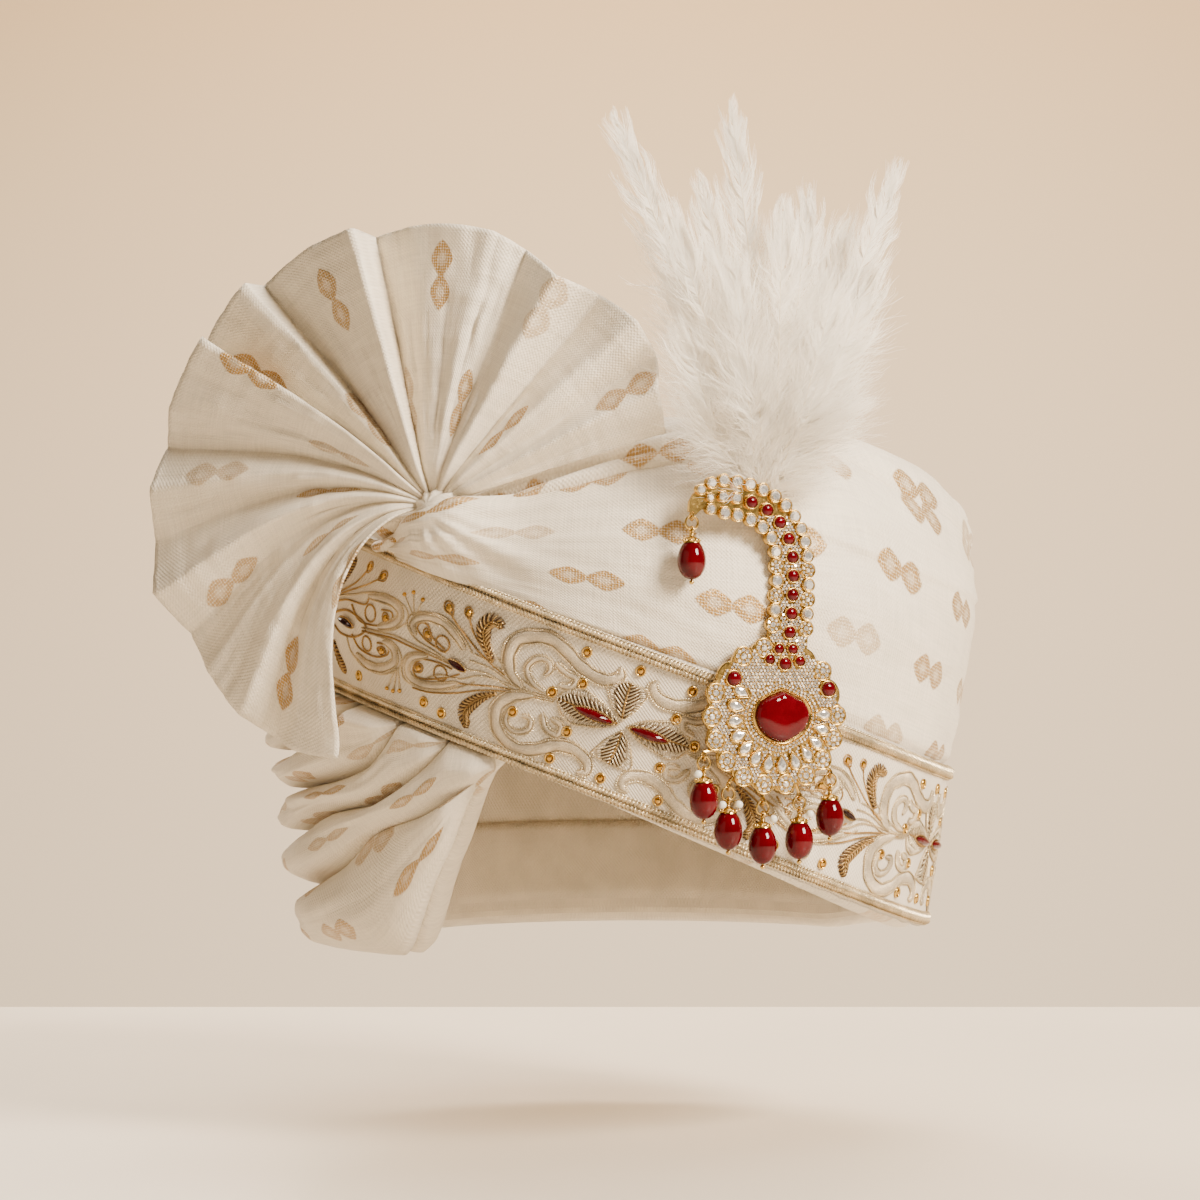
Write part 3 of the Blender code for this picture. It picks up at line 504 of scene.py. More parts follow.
def shade(tree, **inputs):
    """Closes a material with a Principled shader on its output. Words in an input's name are joined by _."""
    named = {name.replace("_", " "): value for name, value in inputs.items()}
    shader = node(tree, "ShaderNodeBsdfPrincipled", named)
    node(tree, "ShaderNodeOutputMaterial", {"Surface": shader})


def woven_silk(name, ground, gold, pitch, first):
    """Ivory silk and cotton with woven gold motifs. To the eye: a soft plain weave with slubs and a low, wide sheen.

    pitch is the distance between motifs along and across the cloth, first the place of one of them.
    Real threads lie 0.25 mm apart. They are drawn 0.7 mm apart so that they show.
    """
    tree = new_tree(name)
    place = node(tree, "ShaderNodeUVMap", uv_map="cloth")
    # Motif cells in a brick pattern
    moved = node(tree, "ShaderNodeVectorMath", {0: place, 1: (-first[0], -first[1], 0.0)}, operation="ADD")
    cells = node(tree, "ShaderNodeVectorMath", {0: moved, 1: (1 / pitch[0], 1 / pitch[1], 0.0)}, operation="MULTIPLY")
    cell = node(tree, "ShaderNodeSeparateXYZ", {0: cells})
    up = calc(tree, "ADD", (cell, "Y"), 0.5)
    row = calc(tree, "FLOOR", up)
    half = calc(tree, "MULTIPLY_ADD", calc(tree, "FLOORED_MODULO", row, 2.0), 0.5, 0.5)
    across = calc(tree, "ADD", (cell, "X"), half)
    # Two lozenges end to end, each about 12 x 9 mm, with a dotted edge and a paler heart: the place in a cell in
    # millimetres, then the way from the nearest lozenge's middle as shares of its half sizes
    shares = []
    for whole, length, lozenge_middle, half_size in ((across, pitch[0], 6.0, 7.0), (up, pitch[1], 0.0, 4.9)):
        inside = calc(tree, "MULTIPLY_ADD", calc(tree, "FRACT", whole), length * 1000, -length * 500)
        away = calc(tree, "ABSOLUTE", calc(tree, "ADD", calc(tree, "ABSOLUTE", inside), -lozenge_middle))
        shares.append(calc(tree, "POWER", calc(tree, "DIVIDE", away, half_size), 1.35))
    reach = calc(tree, "ADD", *shares)
    body = ranged(tree, reach, 1.02, 0.86, 0.0, 1.0)
    heart = ranged(tree, reach, 0.10, 0.42, 0.55, 1.0)
    dots = node(
        tree, "ShaderNodeTexVoronoi", {"Vector": place, "Scale": 1000.0, "Randomness": 0.25}, voronoi_dimensions="2D"
    )
    dot = ranged(tree, (dots, "Distance"), 0.60, 0.38, 0.20, 1.0)
    dotted = calc(tree, "MULTIPLY", calc(tree, "MULTIPLY", body, heart), dot)
    which = node(tree, "ShaderNodeCombineXYZ", {"X": calc(tree, "FLOOR", across), "Y": row})
    luck = node(tree, "ShaderNodeTexWhiteNoise", {"Vector": which}, noise_dimensions="2D")
    mask = calc(tree, "MULTIPLY", dotted, ranged(tree, luck, 0.15, 0.65, 0.55, 1.0))
    # Plain weave, slubs along both threads and slow changes of tone
    along = node(tree, "ShaderNodeMapping", {0: place, "Scale": (60.0, 1500.0, 1.0)})
    over = node(tree, "ShaderNodeMapping", {0: place, "Scale": (1500.0, 60.0, 1.0)})
    slubs = calc(tree, "ADD", cloth_noise(tree, along, 1.0, 2.0), cloth_noise(tree, over, 1.0, 2.0))
    cloudy = ranged(tree, cloth_noise(tree, place, 28.0, 3.0), 0.3, 0.7, 0.95, 1.03)
    value = calc(tree, "MULTIPLY", ranged(tree, slubs, 0.7, 1.3, 0.90, 1.06), cloudy)
    woven = node(tree, "ShaderNodeHueSaturation", {"Value": value, "Color": linear(ground)})
    colour = node(tree, "ShaderNodeMix", {0: mask, 6: woven, 7: linear(gold)}, data_type="RGBA")
    weave_bump = bumped(tree, plain_weave(tree, place, 0.0014), 0.32, 0.0004)
    slub_bump = bumped(tree, slubs, 0.35, 0.0005, Normal=weave_bump)
    shade(
        tree,
        Base_Color=(colour, 2),
        Metallic=calc(tree, "MULTIPLY", mask, 0.45),
        Roughness=ranged(tree, mask, 0.0, 1.0, 0.52, 0.36),
        Normal=bumped(tree, mask, 0.5, 0.0005, Normal=slub_bump),
        Sheen_Weight=0.25,
        Sheen_Roughness=0.35,
        Sheen_Tint=linear("#FFF6E6"),
        Specular_IOR_Level=0.45,
    )


def plain_cotton(name, colour):
    """Unbleached cotton lining. To the eye: matt, with a clear plain weave. Threads are drawn 0.8 mm apart to show."""
    tree = new_tree(name)
    place = node(tree, "ShaderNodeUVMap", uv_map="cloth")
    tint = toned(tree, cloth_noise(tree, place, 60.0, 4.0), colour, 0.90, 1.05)
    bump = bumped(tree, plain_weave(tree, place, 0.0016), 0.4, 0.0005)
    shade(tree, Base_Color=tint, Roughness=0.85, Normal=bump, Sheen_Weight=0.15)


def worn_gold(name, colour, roughness):
    """Gold-plated brass, cast and hand-burnished. To the eye: warm, bright edges and slightly uneven shine."""
    tree = new_tree(name)
    wear = piece_noise(tree, 700.0, 3.0)
    rough = ranged(tree, wear, 0.3, 0.7, roughness + 0.1, roughness - 0.06)
    tint = toned(tree, wear, colour, 0.82, 1.05)
    shade(tree, Base_Color=tint, Metallic=1.0, Roughness=rough, Normal=bumped(tree, wear, 0.2, 0.0002))


def ruby_glass(name, colour):
    """Moulded ruby glass, fire polished. To the eye: deep red with a clear sharp highlight."""
    tree = new_tree(name)
    shade(
        tree,
        Base_Color=toned(tree, piece_noise(tree, 160.0, 2.0), colour, 0.75, 1.25),
        Roughness=0.05,
        IOR=1.52,
        Coat_Weight=0.15,
        Coat_Roughness=0.02,
        Specular_IOR_Level=0.2,
    )


def metal_thread(name, colour, metal, roughness):
    """Gilt and silvered wire wound on a thread. To the eye: fine broken glints."""
    tree = new_tree(name)
    glints = piece_noise(tree, 2600.0, 2.0)
    both = calc(tree, "ADD", glints, piece_noise(tree, 130.0, 2.0))
    rough = ranged(tree, glints, 0.3, 0.7, roughness + 0.12, roughness - 0.10)
    tint = toned(tree, both, colour, 0.55, 1.25, low=0.7, high=1.3)
    shade(tree, Base_Color=tint, Metallic=metal, Roughness=rough, Normal=bumped(tree, glints, 0.5, 0.0003))


def foiled_crystal(name):
    """Cut glass with a silver foil behind. To the eye: facets that are each bright, grey or dark, never clear."""
    tree = new_tree(name)
    shade(
        tree,
        Base_Color=toned(tree, piece_noise(tree, 900.0, 1.0), "#F4F2F0", 0.70, 1.05, low=0.35, high=0.65),
        Metallic=0.72,
        Roughness=0.06,
        Coat_Weight=1.0,
        Coat_Roughness=0.02,
        Coat_IOR=1.6,
    )


def shell_pearl(name):
    """Small shell pearl. To the eye: creamy white with a soft wide sheen."""
    tree = new_tree(name)
    tint = toned(tree, piece_noise(tree, 500.0, 2.0), "#F7EEDD", 0.92, 1.04)
    shade(tree, Base_Color=tint, Roughness=0.28, Coat_Weight=0.7, Coat_Roughness=0.12, Subsurface_Weight=0.1)


def soft_feather(name, colour, thin):
    """Bleached goose and marabou feather. To the eye: matt warm white that lets light through at its edges."""
    tree = new_tree(name)
    tint = toned(tree, piece_noise(tree, 60.0, 3.0), colour, 0.93, 1.04)
    shader = node(
        tree, "ShaderNodeBsdfPrincipled", {"Base Color": tint, "Roughness": 0.75, "Specular IOR Level": 0.2}
    )
    through_light = node(tree, "ShaderNodeBsdfTranslucent", {"Color": tint})
    mixed = node(tree, "ShaderNodeMixShader", {0: thin, 1: shader, 2: through_light})
    node(tree, "ShaderNodeOutputMaterial", {"Surface": mixed})


def make_materials(settings):
    for name, pitch, first in (
        ("silk_cotton_weave", (0.048, 0.024), (0.128, 0.030)),
        ("silk_cotton_fan", (0.088, 0.024), (0.079, 0.144)),
    ):
        woven_silk(name, settings.cloth_colour, settings.motif_colour, pitch, first)
    plain_cotton("band_silk_weave", "#DED2BE")
    plain_cotton("cotton_lining", "#DCCFB8")
    worn_gold("burnished_gold", "#D8B468", 0.20)
    worn_gold("amber_gold_bead", "#C79A4A", 0.16)
    ruby_glass("ruby_glass_stone", "#4E000A")
    ruby_glass("ruby_glass_drop", "#52000A")
    ruby_glass("garnet_glass", "#220406")
    metal_thread("silver_gilt_thread", "#D8C6A4", 0.70, 0.30)
    metal_thread("antique_gold_thread", "#B3925E", 0.70, 0.34)
    # Dark thread for every second stitch of the petals and leaves: painted shade in the gaps between the raised
    # stitches
    metal_thread("bronze_thread", "#5A4026", 0.55, 0.42)
    metal_thread("ivory_satin_thread", "#D3C2A6", 0.35, 0.38)
    foiled_crystal("foiled_crystal")
    shell_pearl("pearl_bead")
    soft_feather("white_feather", "#FBF6EC", 0.28)
    soft_feather("feather_quill", "#F1E4C8", 0.1)


# Cloth of the turban

CLOTH_THICKNESS = 0.0009
OUTER_ROWS = 52
RIM_ROWS = 9
LINING_ROWS = 26
TUCK = 0.006
TOP_SPAN = (-140, -4)
UPPER_SPAN = (-12, 208)
LOWER_SPAN = (42, 204)
GATHER_LIFT = 0.0195
GATHER_RADIUS = 0.0165


class TurbanSettings(bpy.types.PropertyGroup):
    """Sizes and colours of the turban's cloth"""

    cloth_colour: StringProperty(name="Cloth colour", description="Ground of the silk, as sRGB hex", default="#EADFCB")
    motif_colour: StringProperty(name="Motif colour", description="Woven gold motifs, as sRGB hex", default="#B0884A")
    wrinkle: FloatProperty(
        name="Wrinkles", description="Height of the soft wrinkles", default=0.0011, min=0.0, max=0.004, unit="LENGTH"
    )
    fan_step: IntProperty(name="Fan steps", description="Mesh steps across each pleat", default=10, min=2, max=24)


def lining_point(angle, share):
    """A point of the lining, share 0 at the rim and 1 at the top."""
    low = rim(angle) + CROWN_WALL / 2
    height = low + share * (CROWN_TOP - low)
    outer = crown_surface(angle, height)
    round_reach = math.hypot(outer.x, outer.y)
    keep = max(0.0, round_reach - CROWN_WALL * (1 - share**6)) / max(round_reach, 1e-6)
    return Vector((outer.x * keep, outer.y * keep, height - CROWN_WALL * share**3))


def top_gather(angle, height):
    """Small pleats that run to the middle of the crown's top."""
    near = eased(height, 0.118, 0.150)
    ridges = math.cos(math.radians(angle) * 22 + 3 * noise.noise(Vector((angle / 30, height * 25, 2.0))))
    return near * 0.0009 * ridges * (0.4 + 0.6 * girth(height))


class TURBAN_OT_crown(bpy.types.Operator):
    """Adds the padded crown with its round rim, cotton lining and sweatband"""

    bl_idname = "turban.crown"
    bl_label = "Crown and lining"

    def execute(self, context):
        cloth, lining = (bpy.data.materials[name] for name in ("silk_cotton_weave", "cotton_lining"))
        angles = [3.0 * k for k in range(121)]
        columns, uvs = [], []
        for angle in angles:
            low = rim(angle) + CROWN_WALL / 2
            column, uv = [Vector((0, 0, CROWN_TOP))], [(angle * 0.002, CROWN_TOP)]
            for k in range(1, OUTER_ROWS):
                height = low + (CROWN_TOP - low) * (1 - (k / (OUTER_ROWS - 1)) ** 1.4)
                column.append(off_crown(angle, height, top_gather(angle, height)))
                uv.append((angle * 0.002, height))
            for k in range(1, RIM_ROWS):
                turn = math.pi * k / RIM_ROWS
                offset = CROWN_WALL / 2 * (math.cos(turn) - 1)
                column.append(off_crown(angle, low - CROWN_WALL / 2 * math.sin(turn), offset))
                uv.append((angle * 0.002, low - 0.006 * k / RIM_ROWS))
            for k in range(LINING_ROWS):
                column.append(lining_point(angle, (k / (LINING_ROWS - 1)) ** 0.8))
                uv.append((angle * 0.002, low - 0.01 - 0.15 * k / LINING_ROWS))
            columns.append(column)
            uvs.append(uv)
        crown = grid_object("crown_cloth", columns, uvs, cloth)
        crown.data.materials.append(lining)
        rows = len(columns[0]) - 1
        for polygon in crown.data.polygons:
            polygon.material_index = 1 if polygon.index % rows >= OUTER_ROWS + RIM_ROWS - 3 else 0
        welded(crown, 0.00002)
        kept(crown, "ivory_silk", "crown")
        columns, uvs = [], []
        for angle in angles:
            low, column, uv = rim(angle) + 0.0075, [], []
            for k in range(9):
                share = k / 8
                height = low + 0.030 * share
                out = CROWN_WALL + 0.0005 + 0.0009 * math.sin(math.pi * share) ** 0.5
                column.append(off_crown(angle, height, -out))
                uv.append((angle * 0.0019, height))
            columns.append(column)
            uvs.append(uv)
        strip = face_outward(grid_object("sweatband", columns, uvs, lining), closed=False)
        cloth_thickness(strip, 0.0006)
        kept(strip, "ivory_silk")
        return {"FINISHED"}


def wrinkled(along, across, seed, wrinkle):
    """Long soft wrinkles that run with the cloth, and finer ones between them."""
    long_wave = noise.noise(Vector((along * 14, across * 60, seed)))
    fine_wave = noise.noise(Vector((along * 45, across * 210, seed + 9)))
    crinkle = noise.noise(Vector((along * 150, across * 190, seed + 21)))
    return wrinkle * (long_wave + 0.38 * fine_wave + 0.16 * crinkle)


def gather_polar(angle, height):
    """Distance from the fan's gather over the crown, and the direction, 0 to the right and 90 up."""
    across = math.radians(angle - KNOT_ANGLE) * CROWN_WIDTH / 2 * 0.95
    up = height - KNOT_HEIGHT
    return math.hypot(across, up), math.degrees(math.atan2(up, across))


GatherFold = namedtuple("GatherFold", "direction height width reach")
GATHER_FOLDS = (
    GatherFold(2, 0.0030, 9, 0.052),
    GatherFold(-14, 0.0026, 7, 0.040),
    GatherFold(-30, 0.0034, 8, 0.060),
    GatherFold(-52, 0.0024, 9, 0.034),
    GatherFold(-78, 0.0030, 10, 0.026),
    GatherFold(-112, 0.0022, 11, 0.024),
)


def gather_folds(angle, height):
    """Folds that run out of the gather across the front cloth, and its rise over the gathered pleats."""
    distance, direction = gather_polar(angle, height)
    lift = GATHER_LIFT * math.exp(-((distance / GATHER_RADIUS) ** 2.2))
    for fold in GATHER_FOLDS:
        bend = direction - fold.direction - 160 * distance
        ridge = math.exp(-((bend / fold.width) ** 2))
        fade = eased(distance, 0.004, 0.012) * (1 - eased(distance, 0.3 * fold.reach, fold.reach))
        lift += fold.height * ridge * fade
    return lift


def laid_cloth(name, angles, rows, low, high, lift, seed, v_height):
    """A sheet laid on the crown between two height lines. lift(angle, share, height) is its distance from the crown."""
    wrinkle = bpy.context.scene.turban_settings.wrinkle
    middles = arc_table(lambda a: (low(a) + high(a)) / 2, angles[0], angles[-1], angles[1] - angles[0])[1]
    columns, uvs = [], []
    for angle, along in zip(angles, middles):
        bottom, top = low(angle), high(angle)
        column, uv = [], []
        for k in range(rows + 1):
            share = k / rows
            height = bottom + (top - bottom) * share
            offset = lift(angle, share, height)
            waves = wrinkled(along, share * v_height, seed, wrinkle)
            edge = eased(share, 0.0, 0.06) * (1 - eased(share, 0.95, 1.0))
            column.append(off_crown(angle, height, max(0.0004, offset + waves * edge)))
            uv.append((along, share * v_height))
        columns.append(column)
        uvs.append(uv)
    sheet = grid_object(name, columns, uvs, bpy.data.materials["silk_cotton_weave"])
    return cloth_thickness(face_outward(sheet, closed=False), CLOTH_THICKNESS)


def spaced(first, last, step):
    count = round((last - first) / step)
    return [first + (last - first) * k / count for k in range(count + 1)]


def front_lift(angle, share, height):
    """The front cloth's distance from the crown: thin under the band, two layers above, rolled in at its top."""
    # The upper layer's step shows to the right of the brooch and fades out to the left
    over = eased(height - slanted(angle, UPPER_LAYER_LEVEL), -0.0007, 0.0007)
    seam = 0.0011 * over * eased(angle, -88, -60)
    body = LAY_GAP + 0.0020 + 0.0013 * eased(share, 0.1, 0.5)
    under_band = 1 - eased(share, 0.03, 0.10)
    rolled = 1 - eased(share, 0.965, 1.0) * 0.85
    near_end = 1 - 0.9 * eased(angle, 30, 44)
    lift = (body + seam) * near_end
    lift = lift * (1 - under_band) + 0.0007 * under_band
    return lift * rolled + gather_folds(angle, height) * (1 - under_band)


def top_lift(angle, share, height):
    """Narrow gathered folds near the fan that open into one full crescent."""
    crescent = (LAY_GAP + ROLL_THICKNESS) * math.sin(math.pi * min(1.0, share * 0.92 + 0.06)) ** 0.6
    narrow = 1 - eased(angle, -104, -74)
    slant = share * 4.0 + 0.6 * math.sin(math.radians(angle * 4)) * 0.3
    folded = 0.0016 + 0.0052 * abs(math.sin(math.pi * slant)) ** 0.7
    lift = crescent * (1 - narrow) + folded * narrow
    return lift * eased(share, 0.0, 0.06) * (1 - 0.8 * eased(share, 0.96, 1.0)) + 0.0006


def upper_lift(angle, share, height):
    """One full roll with two creases that wander along it."""
    full = math.sin(math.pi * min(1.0, share * 0.93 + 0.05)) ** 0.5
    first_line = 0.10 * math.sin(math.radians(angle * 2.2))
    second_line = 0.07 * math.sin(math.radians(angle * 3 + 40))
    crease = 0.0016 * math.exp(-(((share - 0.42 - first_line) / 0.035) ** 2))
    second = 0.0013 * math.exp(-(((share - 0.74 + second_line) / 0.03) ** 2))
    lift = (LAY_GAP + ROLL_THICKNESS) * full - crease - second
    ends = eased(angle, -12, -2) * (1 - eased(angle, 198, 208))
    return (lift * eased(share, 0.0, 0.05)) * (0.15 + 0.85 * ends) + 0.0006


def lower_lift(angle, share, height):
    """A flatter layer with three slanting pleats that thins out at both ends."""
    body = LAY_GAP + WRAP_THICKNESS * (0.75 + 0.25 * eased(share, 0.0, 0.6))
    pleat = 0.0016 * abs(math.sin(math.pi * (share * 3 + angle * 0.012))) ** 0.6
    start = eased(angle, 42, 47)
    end = 1 - eased(angle, 196, 204)
    return (body + pleat) * (0.25 + 0.75 * start * end) * (1 - 0.85 * eased(share, 0.965, 1.0))


class TURBAN_OT_wraps(bpy.types.Operator):
    """Adds the layers of cloth wound over the front, the top and the back of the crown"""

    bl_idname = "turban.wraps"
    bl_label = "Wound cloth"

    def execute(self, context):
        def tucked(angle):
            return front_top(angle) - TUCK

        front = laid_cloth(
            "front_cloth", spaced(-160, 46, 0.55), 96, lambda a: band_high(a) - 0.005, front_top, front_lift, 3.0, 0.085
        )
        kept(front, "ivory_silk", "front_wrap_lower", "front_wrap_upper")
        angles = spaced(*TOP_SPAN, 0.8)
        top = laid_cloth("top_cloth", angles, 64, tucked, lambda a: through(TOP_EDGE, a), top_lift, 11.0, 0.03)
        kept(top, "ivory_silk", "top_wrap")
        angles = spaced(*UPPER_SPAN, 1.0)
        upper = laid_cloth(
            "back_cloth_upper", angles, 72, tucked, lambda a: through(BACK_EDGE, a), upper_lift, 17.0, 0.06
        )
        kept(upper, "ivory_silk", "back_wrap_upper")
        lower = laid_cloth(
            "back_cloth_lower",
            spaced(*LOWER_SPAN, 1.0),
            64,
            lambda a: fold_line(a, 5) - 0.008,
            lambda a: front_top(a) + 0.001,
            lower_lift,
            23.0,
            0.06,
        )
        kept(lower, "ivory_silk", "back_wrap_lower")
        return {"FINISHED"}


FOLD_START = 42
FOLD_ROWS = 36
FOLD_BACK_ROWS = 8


class TURBAN_OT_folds(bpy.types.Operator):
    """Adds the five soft rolls of cloth wound round the back"""

    bl_idname = "turban.folds"
    bl_label = "Back folds"

    def execute(self, context):
        cloth = bpy.data.materials["silk_cotton_weave"]
        wrinkle = context.scene.turban_settings.wrinkle
        top_share = FOLD_SECTION[-1].share
        for number, end in enumerate(FOLD_ENDS, start=1):
            # The lowest roll starts at the rim, the others are tucked behind the one below
            first_share = 0.0 if number == 1 else FOLD_SECTION[0].share
            angles = spaced(FOLD_START, end + 3, 1.0)
            reached = arc_table(lambda a: fold_line(a, number), angles[0], angles[-1], angles[1] - angles[0])[1]
            columns, uvs = [], []
            for angle, along in zip(angles, reached):
                low, high = fold_line(angle, number - 1), fold_line(angle, number)
                tall = max(high - low, 0.0012)
                bulge = FOLD_BULGE * through(FOLD_BULGES, angle)
                bulge *= min(1.0, tall / 0.010) ** 0.6 * (0.35 + 0.65 * eased(angle, FOLD_START, 50))
                column, uv = [], []
                for k in range(FOLD_ROWS + 1):
                    share = first_share + (top_share - first_share) * k / FOLD_ROWS
                    if number == 1 and share <= 0.5:
                        out = math.sqrt(max(0.0, 1 - (1 - share / 0.5) ** 2))
                    else:
                        out = through(FOLD_SECTION, share)
                    waves = wrinkled(along, share * 0.030 + 0.005 * number, 31.0 + number * 5, wrinkle * 1.7)
                    twist = 0.0012 * math.sin(along * 70 + share * 6 + number * 2)
                    room = eased(out, 0.35, 0.8) * min(1.0, bulge / 0.012)
                    offset = LAY_GAP + bulge * out + (waves + twist) * room
                    column.append(off_crown(angle, low + tall * share, max(0.0007, offset)))
                    uv.append((along + 0.013 * number, share * 0.040 + 0.017 * number))
                for k in range(1, FOLD_BACK_ROWS):
                    share = top_share * (1 - k / FOLD_BACK_ROWS) + first_share * k / FOLD_BACK_ROWS
                    column.append(off_crown(angle, low + tall * share, 0.0005))
                    uv.append((along, -share * 0.04))
                uv.append(uv[0])
                columns.append(column)
                uvs.append(uv)
            roll = grid_object(f"back_fold_cloth_{number}", columns, uvs, cloth, closed=True)
            face_outward(roll)
            kept(roll, "ivory_silk", f"back_fold_{number}")
        return {"FINISHED"}


FAN_INNER_RADIUS = 0.0035
FAN_ROWS = 64
GATHER_SIDES = 60
GATHER_ROWS = 14
GATHER_LENGTH = 0.0165
GATHER_REACH = 0.0098


def fan_point(angle, share, depth_share, reach_share):
    """A point of the fan in its own frame: the lower pleats turn up into the gather and sweep back."""
    back_share = 0.5 + 0.5 * math.cos(math.radians(angle - FAN_SWEEP_ANGLE))
    past = max(0.0, angle - FAN_GATHER_ANGLE) / (FAN_CREASES[-1].angle - FAN_GATHER_ANGLE)
    turn = math.radians(angle - FAN_GATHER_TURN * past**1.3 * (1 - share) ** 1.5)
    radius = FAN_INNER_RADIUS + share * (FAN_RADIUS * reach_share - FAN_INNER_RADIUS)
    depth = FAN_PLEAT_DEPTH * depth_share * (radius / FAN_RADIUS) ** FAN_DEPTH_GROWTH
    depth -= FAN_SWEEP * back_share * (radius / FAN_RADIUS) ** 1.5
    depth -= 0.006 * (1 - eased(radius, 0.0, 0.016))
    return Vector((radius * math.cos(turn), radius * math.sin(turn), depth))


def fan_ripple(angle, share):
    """Soft creases across and along the pleats."""
    wave = noise.noise(Vector((angle * 0.16, share * 3.0, 5.0)))
    fine = noise.noise(Vector((angle * 0.55, share * 9.0, 15.0)))
    cross = noise.noise(Vector((angle * 0.05, share * 26.0, 25.0)))
    pinch = noise.noise(Vector((angle * 0.42, share * 1.2, 35.0)))
    return 1.6 * wave + 0.7 * fine + 0.45 * cross + 1.3 * pinch


class TURBAN_OT_fan(bpy.types.Operator):
    """Adds the pleated fan and the gathered cloth at its centre"""

    bl_idname = "turban.fan"
    bl_label = "Pleated fan"

    def execute(self, context):
        settings = context.scene.turban_settings
        cloth = bpy.data.materials["silk_cotton_fan"]
        place = facing_frame(knot_place(), FAN_TURN)
        columns, uvs = [], []
        for i, (crease, following) in enumerate(zip(FAN_CREASES, FAN_CREASES[1:])):
            steps = settings.fan_step if i < len(FAN_CREASES) - 2 else settings.fan_step + 1
            for step in range(steps):
                t = step / settings.fan_step
                angle = crease.angle + (following.angle - crease.angle) * t
                reach = crease.reach_share + (following.reach_share - crease.reach_share) * t
                column, uv = [], []
                for k in range(FAN_ROWS + 1):
                    share = (k / FAN_ROWS) ** 1.15
                    crisp = 0.35 + 0.6 * share
                    mixed = t * crisp + eased(t) * (1 - crisp)
                    depth_share = crease.depth_share + (following.depth_share - crease.depth_share) * mixed
                    point = fan_point(angle, share, depth_share, reach)
                    point.z += settings.wrinkle * fan_ripple(angle, share) * eased(share, 0.05, 0.4)
                    column.append(place @ point)
                    uv.append((share * FAN_RADIUS * reach, angle / 14.5 * 0.024))
                columns.append(column)
                uvs.append(uv)
        fan = grid_object("fan_cloth", columns, uvs, cloth)
        facing = place.to_3x3() @ Vector((0, 0, 1))
        average = sum((polygon.normal * polygon.area for polygon in fan.data.polygons), Vector())
        if average.dot(facing) < 0:
            fan.data.flip_normals()
        cloth_thickness(fan, CLOTH_THICKNESS, 0.0)
        kept(fan, "ivory_silk", "pleated_fan")
        columns, uvs = [], []
        outward = crown_outward(KNOT_ANGLE, KNOT_HEIGHT)
        across = outward.cross(Vector((0, 0, 1))).normalized()
        upward = across.cross(outward)
        base = off_crown(KNOT_ANGLE, KNOT_HEIGHT, 0.0035)
        for k in range(GATHER_SIDES + 1):
            turn = 2 * math.pi * k / GATHER_SIDES
            around = across * math.cos(turn) + upward * math.sin(turn)
            column, uv = [], []
            for j in range(GATHER_ROWS + 1):
                share = j / GATHER_ROWS
                flute = 1 + 0.16 * math.cos(9 * turn + 4 * share)
                reach = GATHER_REACH * math.sin(math.pi * (0.10 + 0.86 * share)) ** 0.6 * flute
                if j in (0, GATHER_ROWS):
                    reach = 0.00002
                column.append(base + outward * GATHER_LENGTH * share + around * reach)
                uv.append((share * 0.02, turn * 0.01))
            columns.append(column)
            uvs.append(uv)
        gather = welded(grid_object("fan_gather", columns, uvs, cloth), 0.00005)
        kept(gather, "ivory_silk", "fan_knot")
        return {"FINISHED"}


# Band

BAND_ROWS = 28
BAND_BACK_ROWS = 6


def band_middle(angle):
    return slanted(angle, BAND_MIDDLE)


class TURBAN_OT_band(bpy.types.Operator):
    """Adds the silk band"""

    bl_idname = "turban.band"
    bl_label = "Band cloth"

    def execute(self, context):
        angles = spaced(*BAND_SPAN, 0.75)
        reached = arc_table(band_middle, angles[0], angles[-1], angles[1] - angles[0])[1]
        columns, uvs = [], []
        for angle, along in zip(angles, reached):
            low, high = band_low(angle), band_high(angle)
            column, uv = [], []
            for k in range(BAND_ROWS + 1):
                share = k / BAND_ROWS
                near = min(share, 1 - share) * (high - low)
                swell = math.sqrt(max(0.0, 1 - (1 - min(1.0, near / 0.0022)) ** 2))
                pucker = noise.noise(Vector((along * 130, share * 3, 41.0))) * (1 - eased(near, 0.002, 0.012))
                soft = noise.noise(Vector((along * 30, share * 2, 47.0)))
                offset = LAY_GAP + BAND_THICKNESS * (0.45 + 0.55 * swell) + 0.0005 * pucker + 0.0004 * soft
                column.append(off_crown(angle, low + (high - low) * share + 0.0006 * pucker, offset))
                uv.append((along, share * BAND_HEIGHT))
            for k in range(1, BAND_BACK_ROWS):
                share = 1 - k / BAND_BACK_ROWS
                column.append(off_crown(angle, low + (high - low) * share, LAY_GAP))
                uv.append((along, share * BAND_HEIGHT))
            uv.append(uv[0])
            columns.append(column)
            uvs.append(uv)
        band = grid_object("band_cloth", columns, uvs, bpy.data.materials["band_silk_weave"], closed=True)
        face_outward(band)
        kept(band, "band_silk", "embroidered_band")
        return {"FINISHED"}


# Repeated pieces


Spot = namedtuple("Spot", "place turn size pick")


def new_group(name, **inputs):
    """A geometry node tree with a geometry input and output and further inputs by name and type."""
    tree = bpy.data.node_groups.new(name, "GeometryNodeTree")
    tree.interface.new_socket("Geometry", in_out="INPUT", socket_type="NodeSocketGeometry")
    for label, kind in inputs.items():
        tree.interface.new_socket(label.replace("_", " "), in_out="INPUT", socket_type=f"NodeSocket{kind}")
    tree.interface.new_socket("Geometry", in_out="OUTPUT", socket_type="NodeSocketGeometry")
    return tree


def attribute(tree, name, kind):
    return node(tree, "GeometryNodeInputNamedAttribute", {"Name": name}, data_type=kind)


